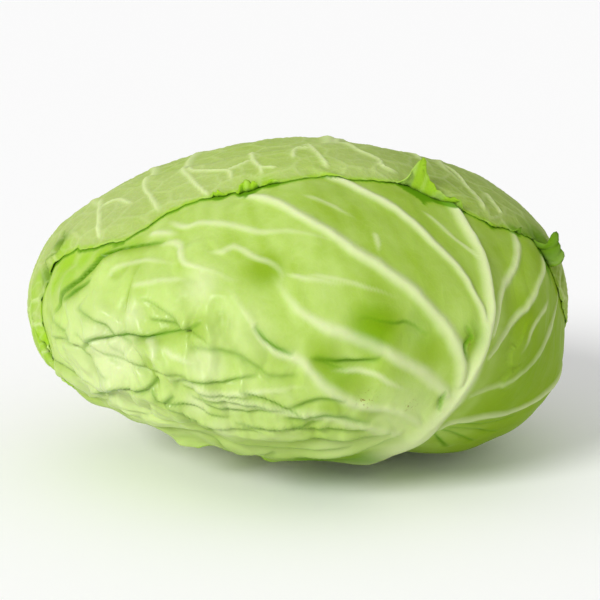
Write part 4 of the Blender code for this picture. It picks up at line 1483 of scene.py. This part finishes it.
    tints: tuple[Tint, ...] = (
        patches(
            # Darker green, partly the leaf's own and partly painted shade: in hollows, between the ribs and
            # on the right lobe, away from the light.
            Mark.DEEP,
            (-8, 29, 8, 0.9), (15, 10, 13, 1.0), (5, 0, 9, 0.8), (9, -7, 9, 0.8), (34, 1, 7, 0.8),
            (64, -18, 50, 1.0), (6, -17, 6, 0.7), (14, -20, 6, 0.7), (0, -21, 6, 0.6), (14, -27, 7, 0.7),
            (3, -26, 6, 0.5), (-12, -34, 6, 0.5), (-30, -4, 4, 0.7), (-44, -12, 4, 0.7), (-57, -16, 4, 0.7),
            (-36, 4, 6, 0.5), (-26, 7, 6, 0.5), (-19, 10, 5, 0.5), (74, 0, 36, 0.95), (54, 4, 20, 0.9),
            (64, 24, 34, 0.65), (4, -52, 14, 1.0), (16, -50, 12, 1.0), (28, 48, 36, 0.5),
            (60, -42, 28, 1.0), (50, -26, 20, 1.0), (22, 24, 28, 0.5), (40, 26, 22, 0.6), (26, 1, 10, 0.7),
            (16, 19, 9, 0.7), (-6, 3, 6, 0.4), (17, -2, 8, 0.5)) +
        patches(
            # Painted shade: dark patches low near the base and between the ribs.
            Mark.CREASE,
            (6, -56, 14, 0.6), (20, -52, 10, 0.5), (14, 10, 8, 0.27), (7, -4, 6, 0.14), (23, 8, 7, 0.1),
            (35, 5, 5, 0.2), (52, -16, 16, 0.04), (-7, 27, 6, 0.07), (24, -64, 13, 0.3)) +
        patches(
            Mark.PALE,
            (18, -24, 26, 0.7), (-38, -22, 50, 0.8), (-50, 4, 28, 0.7), (8, -34, 14, 1.0),
            (-20, 12, 26, 0.3)) +
        patches(
            # Whitish patches: paler crumpled blade, and painted highlights where it catches the light.
            Mark.VEIN,
            (-46, -15, 26, 0.45), (-40, -3, 15, 0.8), (-21, 23, 8, 0.5), (-35, 11, 6, 0.5),
            (-18, -2, 7, 0.55), (-21, -18, 6, 0.6), (-13, -15, 6, 0.6), (-16, -26, 7, 0.4),
            (-10, 8, 12, 0.2), (22, -26, 18, 0.3), (-14, -28, 30, 0.15), (8, -34, 8, 0.25)) +
        patches(
            Mark.MARGIN,
            (-64, 22, 6, 0.9), (-57, 25, 6, 0.9), (-63, 15, 5, 0.8), (-51, 29, 5, 0.9), (-58, 18, 5, 0.9),
            (-45, 33, 4, 0.6)) +
        patches(
            Mark.SCUFF,
            (13, -13, 4, 1.0), (23, -18, 3, 0.8), (34, 3, 3, 0.6))
    )

    def seen(self, way: Rows) -> Rows:
        """Whether directions lie on the bare front of the head."""
        under, low, back = self.bare
        return (TOP_EDGE.inside(way) < under) & (way[:, 2] > low) & (way[:, 1] < back)

    def relief(self, way: Rows, fine: bool = True) -> Relief:
        """Height and marks along directions.

        Args:
            way: Unit directions from the head's middle.
            fine: Whether the small features are wanted.

        Returns:
            What is pressed into the leaf.
        """
        made = Relief(way)
        for rib in self.ribs:
            rib.press(made)
        self.press_valley(made)
        if fine:
            for vein in self.veins:
                vein.press(made)
        for fold in self.folds + (self.wrinkles + self.pleats.folds() if fine else ()):
            fold.press(made)
        for dent in self.dents:
            dent.press(made)
        gap = np.linalg.norm(way - FORM.aim(*self.crumple_spot), axis=1) * FORM.reach(way)
        gain = (1.0 - ramp(gap, *self.crumple_fade)) * self.crumple_ripple / self.small_ripple.height
        made.lift += self.broad_ripple.over(made.spot)
        made.lift += self.small_ripple.over(made.spot) * (1.0 + gain)
        if fine:
            self.press_small(made, 1.0 - ramp(TOP_EDGE.inside(way), *self.free_fade))
            for tint in self.tints:
                tint.press(made)
            made.add_mark(Mark.MARGIN, 1.0 - ramp(self.outline.inside(way), *self.margin))
            self.press_shadow(made)
        made.lift = np.maximum(made.lift, self.lowest)
        cover = ramp(TOP_EDGE.inside(way), *self.cover_fade)
        made.lift += cover * (np.minimum(made.lift, self.covered) - made.lift)
        made.shift *= (1.0 - cover)[:, None]
        return made

    def press_valley(self, made: Relief) -> None:
        """Sinks the long hollow to the right of the keel.

        Args:
            made: What takes the hollow.
        """
        wide, off, deep = self.valley
        near = Line(KEEL).near(made.way, 4.0 * off)
        trough = np.exp(-((near.away - off) / wide) ** 2) * (near.side < 0)
        made.lift[near.rows] -= deep * trough * ramp(near.along, *self.valley_start) * (
            1.0 - ramp(near.along, *self.valley_end))

    def press_shadow(self, made: Relief) -> None:
        """Draws the dark line along the top leaf's edge and the bright one beside it.

        Args:
            made: What takes the lines.
        """
        gap = -TOP_EDGE.room(made.way)
        wide, gain = self.shadow_wide
        wide = (wide + gain * (1.0 - ramp(made.way[:, 0], *self.shadow_turn))) * MM
        shade = self.shadow * ramp(made.way[:, 2], *self.shadow_rise)
        made.add_mark(Mark.CREASE, shade * (1.0 - ramp(gap / wide, *self.shadow_fade)))
        made.add_mark(Mark.MARGIN, self.shine * (1.0 - ramp(gap, *self.shine_fade)))

    def fan(self, made: Relief, long: float, short: float, seed: int) -> Rows:
        """Smooth noise drawn out along lines that fan out from the leaf's root, about -0.8 to 0.8.

        Args:
            made: The relief whose directions are read.
            long: Length of its features, in mm.
            short: Width of its features, in mm, at the head's widest.
            seed: Which pattern.

        Returns:
            One value for each direction.
        """
        root = FORM.aim(*self.fan_root)
        east = unit(np.cross((0.0, 0.0, 1.0), root))
        north = np.cross(root, east)
        half_width = FORM.half_size[0] / MM
        turn = np.arctan2(made.loose @ north, made.loose @ east) * half_width
        out = np.arccos(np.clip(made.loose @ root, -1.0, 1.0)) * half_width
        size, pattern, far = self.fan_bend
        bend = made.waves(size, seed + pattern) * far
        spots = np.column_stack(((out + bend) / long, (turn + bend) / short,
                                 np.full(len(out), self.FAN_GAP * seed)))
        fanned = np.array([noise.noise(spot) for spot in spots])
        stretch, calm, narrow = self.level
        across, _, height = made.spot.T / MM
        spots = np.column_stack((across / (stretch * long), (height + calm * bend) / (narrow * short),
                                 np.full(len(out), self.LEVEL_GAP * seed)))
        level = np.array([noise.noise(spot) for spot in spots])
        return fanned + (level - fanned) * (1.0 - ramp(made.way[:, 2], *self.level_band))

    def folded(self, made: Relief, facets: Facets) -> Rows:
        """Reads facets over the fan.

        Args:
            made: The relief whose directions are read.
            facets: Their patterns.

        Returns:
            For each direction, 1 on a ridge, -1 in a hollow and 0 between them.
        """
        ridge, hollow = (1.0 - np.abs(self.fan(made, *pattern)) / self.ridge_wide
                         for pattern in (facets.ridges, facets.hollows))
        ridge, hollow = (np.clip(high, 0.0, 1.0) ** self.ridge_sharp for high in (ridge, hollow))
        return ridge - hollow

    def press_small(self, made: Relief, free: Rows) -> None:
        """Adds the crumples and the faint striping.

        Args:
            made: What takes them.
            free: How much of the crumples each direction gets, for the top leaf's margin.
        """
        crumple = np.zeros(len(made.way))
        for lon, lat, radius, amount in self.crumpled:
            gap = np.linalg.norm(made.way - FORM.aim(lon, lat), axis=1) * FORM.reach(made.way)
            crumple = np.maximum(crumple, amount * np.exp(-(gap / (radius * MM)) ** 4))
        large, small = self.folded(made, self.facets), self.folded(made, self.small_facets)
        share = free * (self.smooth + crumple)
        made.lift += share * (large * self.facets.height + small * self.small_facets.height)
        # Painted highlight: the crumple mark rises on the ridge tops.
        made.add_mark(Mark.CRUMPLE, crumple * (0.3 + 0.7 * ramp(large + 0.4 * small, 0.1, 0.8)))
        # Painted shade in the crumples' hollows.
        made.add_mark(Mark.DEEP, crumple * 0.8 * ramp(-large, 0.3, 0.9))
        made.add_mark(Mark.STREAK, 0.5 + 1.1 * self.fan(made, *self.stripes))


@dataclass
class TopLeaf(Leaf):
    """The wrapper leaf over the back and the top, with a bloom and a net of veins.

    The ranges that end in ways are shares of the way along an axis, in which a change happens.

    Attributes:
        under: The front leaf that it lies on.
        lift_over: Its least height over the front leaf.
        lift_alone: Its height beside the front leaf.
        hug: Its gap from the front leaf.
        hug_margin: That gap at its margin.
        hug_left: Share by which that gap is less at the far left.
        hug_back: How much wider it is, as a share, at the sides and the back.
        droop: Width of the margin that comes down to the front leaf.
        rest_fade: Distances inside the front leaf's edge over which it comes to lie on that leaf.
        calm: Share of the ripples that is missing where its margin lies on the front leaf.
        ripple: Broad unevenness of the blade.
        crinkle: Size, height and middle of the small sharp creases.
        hem_wide: Width of the hem that waves.
        hem_wave: Height of those waves.
        low_hem_wave: Height that they gain low on the back.
        hem_ripple: The waves' pattern, 1 high.
        margin: Distances inside the edge over which the bright margin ends.
        net_fade: Share of the net that is missing on the front.
        small_net_fade: The same for the small net.
        seen_ways: How far back and how low the fine mesh reaches.
    """

    fine: float = 1.22 * MM
    coarse: float = 1.75 * MM
    under: Optional[FrontLeaf] = None
    lift_over: float = 2.6 * MM
    lift_alone: float = -0.4 * MM
    hug: float = 1.6 * MM
    hug_margin: float = 0.55 * MM
    hug_left: float = 0.45
    left_ways: Pair = (0.75, 0.88)
    hug_back: float = 1.5
    back_ways: Pair = (-0.1, 0.25)
    droop: float = 12.0 * MM
    rest_fade: Pair = (-16.0 * MM, -2.0 * MM)
    calm: float = 0.85
    ripple: Ripple = Ripple(40.0, 70.0, 0.35, 8)
    crinkle: tuple[float, float, float] = (12.0 * MM, 0.45 * MM, 0.4)
    hem_wide: float = 14.0 * MM
    hem_wave: float = 0.15 * MM
    low_hem_wave: float = 1.2 * MM
    hem_ripple: Ripple = Ripple(18.0, 30.0, 1.0 / MM, 9)
    margin: Pair = (0.3 * MM, 3.2 * MM)
    net_fade: float = 0.6
    small_net_fade: float = 0.4
    front_ways: Pair = (-0.55, 0.15)
    upper_ways: Pair = (0.0, 0.35)
    low_ways: Pair = (-0.35, -0.05)
    rear_ways: Pair = (-0.3, 0.1)
    seen_ways: Pair = (0.25, -0.25)
    net: VeinNet = VeinNet(19.0, 0.8, 0.8, 5, 0.55)
    small_net: VeinNet = VeinNet(8.0, 0.22, 0.5, 6, 0.2)
    folds: tuple[Fold, ...] = (
        Fold(((-80, 30), (-72, 28), (-71, 23), (-74, 18)), 0.8, 4.0, 1.6, 0.8, 1.4, 1.0),
        Fold(((-75, 21), (-69, 17), (-67, 12), (-71, 6)), 1.0, 4.0, 1.8, 1.0, 1.5, 1.0),
    )
    tints: tuple[Tint, ...] = (
        patches(
            Mark.MARGIN,
            (-76, -6, 9, 1.0), (-72, -16, 9, 1.0), (-70, 25, 5, 0.7), (-68, 12, 5, 0.7), (-14, 60, 5, 0.9),
            (-20, 58, 5, 0.9), (-69, -7, 8, 1.0), (-76, 5, 8, 0.8), (-74, 13, 5, 0.6)) +
        patches(
            # Darker green on the right and on the knob, partly the leaf's own and partly painted shade away
            # from the light.
            Mark.DEEP,
            (75, 52, 40, 0.5), (70, 32, 18, 0.5), (90, 20, 40, 0.5), (75, 25, 10, 0.95), (77, 13, 8, 0.9)) +
        patches(
            # Painted shade in the curled knob and in the left wrinkles.
            Mark.CREASE,
            (75, 26, 9, 0.65), (70, 30, 4, 0.5), (67, 33, 3, 0.6), (-74, 27, 4, 0.5), (-71, 15, 4, 0.5))
    )
    ribs: tuple[Rib, ...] = (
        Rib(((180, -74), (180, -45), (180, -10), (178, 25), (172, 55), (90, 84), (12, 77), (14, 66)),
            (8.0, 2.0), (4.2, 0.9), (1.0, 0.8)),
        *(Rib(places, (3.2, 1.1), (1.6, 0.8)) for places in (
            ((178, 20), (-160, 45), (-125, 62), (-95, 65), (-69, 63), (-47, 59), (-33, 54)),
            ((180, 0), (-158, 22), (-128, 45), (-100, 56), (-67, 52), (-47, 46)),
            ((180, -20), (-160, 0), (-132, 20), (-105, 36), (-76, 41), (-60, 32)),
            ((180, -40), (-160, -24), (-130, -8), (-100, 8), (-78, 12)),
            ((174, 48), (150, 72), (71, 82), (46, 73), (46, 67), (47, 60)),
            ((178, 18), (158, 45), (120, 64), (92, 68), (78, 62), (60, 56)),
            ((180, -4), (158, 22), (128, 45), (91, 60), (70, 50), (61, 41)),
            ((180, -24), (160, 0), (130, 22), (100, 36), (80, 32)),
            ((180, -44), (160, -26), (132, -8), (104, 4), (86, 4)),
        )),
    )
    veins: tuple[Rib, ...] = tuple(
        Rib(places, (0.9, 0.8), (1.1, 0.8), (1.2, 1.0), 0.4, (0.1, 0.2)) for places in (
        ((-57, 32), (-65, 37), (-76, 41), (-87, 43)),
        ((-76, 41), (-74, 46), (-62, 46)),
        ((-47, 46), (-51, 48), (-67, 52), (-84, 55), (-100, 57)),
        ((-33, 54), (-47, 59), (-69, 63), (-95, 65)),
        ((-71, 65), (-61, 64), (-39, 66), (-29, 60)),
        ((-57, 78), (-32, 72), (-20, 67), (-16, 62)),
        ((-39, 66), (-32, 72)),
        ((-20, 67), (-11, 67)),
        ((14, 66), (12, 76), (10, 88)),
        ((12, 78), (-3, 78), (-5, 71)),
        ((47, 61), (42, 65), (46, 68), (46, 73), (50, 77), (71, 82)),
        ((78, 64), (88, 67), (92, 71)),
        ((61, 42), (70, 50), (83, 56), (91, 62)),
        ((67, 39), (70, 43), (77, 47)),
    ))

    def seen(self, way: Rows) -> Rows:
        """Whether directions lie on the front half of the top."""
        back, low = self.seen_ways
        return (way[:, 1] < back) & (way[:, 2] > low)

    def relief(self, way: Rows, fine: bool = True) -> Relief:
        """Height and marks along directions.

        Args:
            way: Unit directions from the head's middle.
            fine: Makes no difference, because this leaf has its small features in any case.

        Returns:
            What is pressed into the leaf.
        """
        made = Relief(way)
        inside = self.outline.inside(way)
        over = ramp(FRONT_EDGE.inside(way), *self.rest_fade)
        margin = 1.0 - ramp(inside, 0.0, self.droop)
        calm = 1.0 - self.calm * over * margin
        for rib in self.ribs:
            rib.press(made)
        front = ramp(-way[:, 1], *self.front_ways) * ramp(way[:, 2], *self.upper_ways)
        self.net.press(made, self.outline, 1.0 - self.net_fade * front)
        for vein in self.veins:
            vein.press(made)
        self.small_net.press(made, self.outline, 1.0 - self.small_net_fade * front)
        made.lift += self.lift_alone + over * (self.lying(way, over, margin) - self.lift_alone)
        made.lift += self.ripple.over(made.spot) * calm
        hem = 1.0 - ramp(inside, 0.0, self.hem_wide)
        low = (1.0 - ramp(way[:, 2], *self.low_ways)) * ramp(way[:, 1], *self.rear_ways)
        wave = 1.0 + self.hem_ripple.over(made.spot)
        made.lift += hem * (self.hem_wave + self.low_hem_wave * low) * wave
        size, height, middle = self.crinkle
        made.lift += (made.creases(size, 5, (1.4, 1.2, 1.0)) - middle) * height * calm
        made.add_mark(Mark.MARGIN, 0.8 * (1.0 - ramp(inside, *self.margin)))
        for feature in self.folds + self.tints:
            feature.press(made)
        return made

    def lying(self, way: Rows, over: Rows, margin: Rows) -> Rows:
        """Height at which the leaf lies on the front leaf.

        Args:
            way: Unit directions from the head's middle.
            over: How much the leaf lies on the front leaf there, 0 to 1.
            margin: How near its margin that is, 0 to 1.

        Returns:
            One height for each direction.
        """
        height = np.full(len(way), self.lift_over)
        rows = np.flatnonzero(over > 0)
        leaf = self.under.relief(way[rows], False).lift
        lying = np.maximum(height[rows], leaf + self.hug)
        left = self.hug_left * ramp(-way[rows, 0], *self.left_ways)
        back = self.hug_back * ramp(way[rows, 1], *self.back_ways)
        close = self.hug_margin * (1.0 - left) * (1.0 + back)
        height[rows] = lying + margin[rows] * (leaf + close - lying)
        return height


@dataclass
class UnderLeaf(Leaf):
    """A leaf under the wrappers, which flattens where they cover it.

    Attributes:
        ribs: Its own ribs.
        lift: Its height.
        fade: Distances inside a wrapper's edge over which it flattens.
        net: Its net of veins.
        ripple: Broad unevenness of the blade.
        crinkle: Size, height and middle of the small sharp creases.
        margin: Distances inside the edge over which the bright margin ends.
        hidden: How far under both wrappers its fine mesh reaches.
    """

    ribs: tuple[Rib, ...] = ()
    lift: float = -5.0 * MM
    fade: Pair = (-4.0 * MM, 4.0 * MM)
    net: VeinNet = VeinNet(14.0, 0.5, 1.3, 12, 0.5)
    ripple: Ripple = Ripple(30.0, 50.0, 0.25, 11)
    crinkle: tuple[float, float, float] = (9.0 * MM, 0.4 * MM, 0.4)
    margin: Pair = (0.6 * MM, 5.0 * MM)
    hidden: float = 8.0 * MM

    def seen(self, way: Rows) -> Rows:
        """Whether directions lie outside both wrappers, or nearly so."""
        return (TOP_EDGE.inside(way) < self.hidden) & (FRONT_EDGE.inside(way) < self.hidden)

    def relief(self, way: Rows, fine: bool = True) -> Relief:
        """Height and marks along directions.

        Args:
            way: Unit directions from the head's middle.
            fine: Makes no difference, because this leaf has its small features in any case.

        Returns:
            What is pressed into the leaf.
        """
        made = Relief(way)
        for rib in self.ribs:
            rib.press(made)
        self.net.press(made, self.outline)
        cover = np.maximum(ramp(TOP_EDGE.inside(way), *self.fade), ramp(FRONT_EDGE.inside(way), *self.fade))
        made.lift *= 1.0 - cover
        made.lift += self.lift + self.ripple.over(made.spot)
        size, height, middle = self.crinkle
        made.lift += (made.creases(size, 6, (1.3, 1.3, 1.0)) - middle) * height * (1.0 - cover)
        made.add_mark(Mark.MARGIN, 0.9 * (1.0 - ramp(self.outline.inside(way), *self.margin)))
        return made


@dataclass
class PackedHead(Piece):
    """The tight inner head, with the ribs and overlaps of the leaves packed in it."""

    lift: float = -8.2 * MM
    divisions: int = 6
    ribs: tuple[Rib, ...] = tuple(
        Rib(((lon, -70), (lon + 8, -30), (lon + 14, 10), (lon + 26, 50)), (6.0, 2.5), (1.0, 0.4))
        for lon in range(-170, 190, 72))
    folds: tuple[Fold, ...] = tuple(
        Fold(((lon, -62), (lon + 30, -25), (lon + 44, 15), (lon + 40, 55)), 1.2, 14.0, 0.9, 0.0)
        for lon in range(-150, 210, 72))

    def build(self) -> bpy.types.Object:
        """Makes the inner head.

        Returns:
            The object.
        """
        mesh = bpy.data.meshes.new(self.name)
        ball = bmesh.new()
        bmesh.ops.create_icosphere(ball, subdivisions=self.divisions, radius=1.0)
        way = unit(np.array([tuple(vertex.co) for vertex in ball.verts]))
        made = Relief(way)
        for feature in self.ribs + self.folds:
            feature.press(made)
        for vertex, place in zip(ball.verts, FORM.place(way, made.lift + self.lift)):
            vertex.co = place
        ball.to_mesh(mesh)
        ball.free()
        self.carry(mesh, made.marks)
        return self.settle(mesh)


@dataclass
class CutStem(Piece):
    """The cut stem that the leaves grow from."""

    radius: float = 14.6 * MM
    flare: float = 1.0 * MM
    height: float = 12.4 * MM
    rim: float = 1.2 * MM
    sides: int = 96
    face_rings: int = 18
    rim_rings: int = 7
    side_rings: int = 8

    @staticmethod
    def uneven(turn: float) -> float:
        """How far the stem reaches at a turn, as a share of its radius."""
        return 1.0 + 0.012 * math.sin(5 * turn + 1.0) + 0.006 * math.sin(13 * turn)

    def build(self) -> bpy.types.Object:
        """Makes the stem as rings from the middle of its cut face, over its rim and up its side.

        Returns:
            The object.
        """
        profile = [(self.radius * share, 0.0) for share in np.linspace(0.06, 0.9, self.face_rings)]
        for turn in np.linspace(0.0, math.pi / 2, self.rim_rings):
            profile.append((self.radius - self.rim + self.rim * math.sin(turn),
                            self.rim * (1.0 - math.cos(turn))))
        for share in np.linspace(0.2, 1.0, self.side_rings):
            profile.append((self.radius + self.flare * share, self.height * share))
        profile.append((self.radius * 0.5, self.height))
        turns = np.arange(self.sides) / self.sides * 2 * math.pi
        points = [(0.0, 0.0, 0.0)]
        for out, high in profile:
            for turn in turns:
                far = out * self.uneven(turn)
                points.append((far * math.cos(turn), far * math.sin(turn), high))
        points.append((0.0, 0.0, self.height))
        count = self.sides
        faces = [(0, 1 + (i + 1) % count, 1 + i) for i in range(count)]
        for ring in range(len(profile) - 1):
            low, high = 1 + ring * count, 1 + (ring + 1) * count
            faces += [(low + i, low + (i + 1) % count, high + (i + 1) % count, high + i)
                      for i in range(count)]
        last = 1 + (len(profile) - 1) * count
        faces += [(last + i, last + (i + 1) % count, len(points) - 1) for i in range(count)]
        mesh = bpy.data.meshes.new(self.name)
        mesh.from_pydata(points, [], faces)
        return self.settle(mesh)


@dataclass(frozen=True)
class SoftLight:
    """A wide soft light from far away. Angles in degrees."""

    name: str
    azimuth: float
    elevation: float
    width: float
    strength: float

    def build(self, target: Vector) -> None:
        """Puts the light in the scene.

        Args:
            target: Where it points.
        """
        lamp = bpy.data.lights.new(self.name, "SUN")
        lamp.angle = math.radians(self.width)
        lamp.energy = self.strength
        item = bpy.data.objects.new(self.name, lamp)
        around, up = math.radians(self.azimuth), math.radians(self.elevation)
        way = Vector((math.sin(around) * math.cos(up), -math.cos(around) * math.cos(up), math.sin(up)))
        item.location = target + way
        item.rotation_euler = (-way).to_track_quat("-Z", "Y").to_euler()
        bpy.context.scene.collection.objects.link(item)


@dataclass
class Studio:
    """The floor, the lights and the camera."""

    target: Vector = field(default_factory=lambda: Vector((0.0, 0.0, 0.069)))
    elevation: float = 12.0
    distance: float = 0.745
    lens: float = 100.0
    sensor: float = 36.0
    floor_half: float = 60.0
    world: float = 0.62
    lights: tuple[SoftLight, ...] = (
        SoftLight("key", -38.0, 30.0, 20.0, 2.2),
        SoftLight("fill", -12.0, 7.0, 50.0, 0.6),
    )

    def build(self) -> None:
        """Makes the room."""
        self.lay_floor()
        for light in self.lights:
            light.build(self.target)
        self.light_room()
        self.place_camera()

    def lay_floor(self) -> None:
        """Lays the paper that the head stands on."""
        mesh = bpy.data.meshes.new("floor")
        half = self.floor_half
        mesh.from_pydata([(-half, -half, 0), (half, -half, 0), (half, half, 0), (-half, half, 0)],
                         [], [(0, 1, 2, 3)])
        floor = bpy.data.objects.new("floor", mesh)
        bpy.context.scene.collection.objects.link(floor)
        mesh.materials.append(FloorFinish().material())

    def light_room(self) -> None:
        """Gives the room its even light."""
        world = bpy.data.worlds.new("studio")
        world.use_nodes = True
        background = world.node_tree.nodes["Background"]
        background.inputs["Color"].default_value = (1.0, 1.0, 1.0, 1.0)
        background.inputs["Strength"].default_value = self.world
        bpy.context.scene.world = world
        bpy.context.scene.view_settings.view_transform = "Standard"

    def place_camera(self) -> None:
        """Puts the camera in front of the head and a little above it."""
        lens = bpy.data.cameras.new("camera")
        lens.lens = self.lens
        lens.sensor_width = self.sensor
        camera = bpy.data.objects.new("camera", lens)
        up = math.radians(self.elevation)
        way = Vector((0.0, -math.cos(up), math.sin(up)))
        camera.location = self.target + way * self.distance
        camera.rotation_euler = (-way).to_track_quat("-Z", "Y").to_euler()
        bpy.context.scene.collection.objects.link(camera)
        bpy.context.scene.camera = camera


@dataclass
class CabbageHead:
    """The whole head: its stem, its inner head and its four wrapper leaves."""

    def pieces(self) -> list[Piece]:
        """Lists the pieces.

        Returns:
            The pieces from the inside out.
        """
        front = FrontLeaf("front_wrapper", "front_leaf", "front_leaf", FRONT_SKIN, FRONT_EDGE)
        return [
            CutStem("cut_stem", "stem", "stem", StemFinish()),
            PackedHead("inner_head", "packed_head", "inner_leaf", INNER_SKIN),
            UnderLeaf("left_under_wrapper", "left_under_leaf", "under_leaf", UNDER_SKIN, LEFT_EDGE,
                      ribs=(Rib(((-75, -78), (-76, -50), (-80, -20), (-86, 0)), (6.0, 2.0), (3.2, 0.8)),)),
            UnderLeaf("right_under_wrapper", "right_under_leaf", "under_leaf", UNDER_SKIN, RIGHT_EDGE,
                      ribs=(Rib(((114, -78), (116, -50), (119, -20), (121, 4)), (6.0, 2.0), (3.2, 0.8)),)),
            front,
            TopLeaf("top_wrapper", "top_leaf", "top_leaf", TOP_SKIN, TOP_EDGE, under=front),
        ]

    def build(self) -> None:
        """Builds and reports each piece."""
        for piece in self.pieces():
            item = piece.build()
            LOG.info("%s: %d points, %d faces", item.name, len(item.data.vertices), len(item.data.polygons))


def main() -> None:
    """Builds the head and the studio."""
    logging.basicConfig(level=logging.INFO, format="%(name)s: %(message)s")
    noise.seed_set(WANDER_SEED)
    CabbageHead().build()
    Studio().build()
    bpy.context.view_layer.update()


if __name__ == "__main__":
    main()
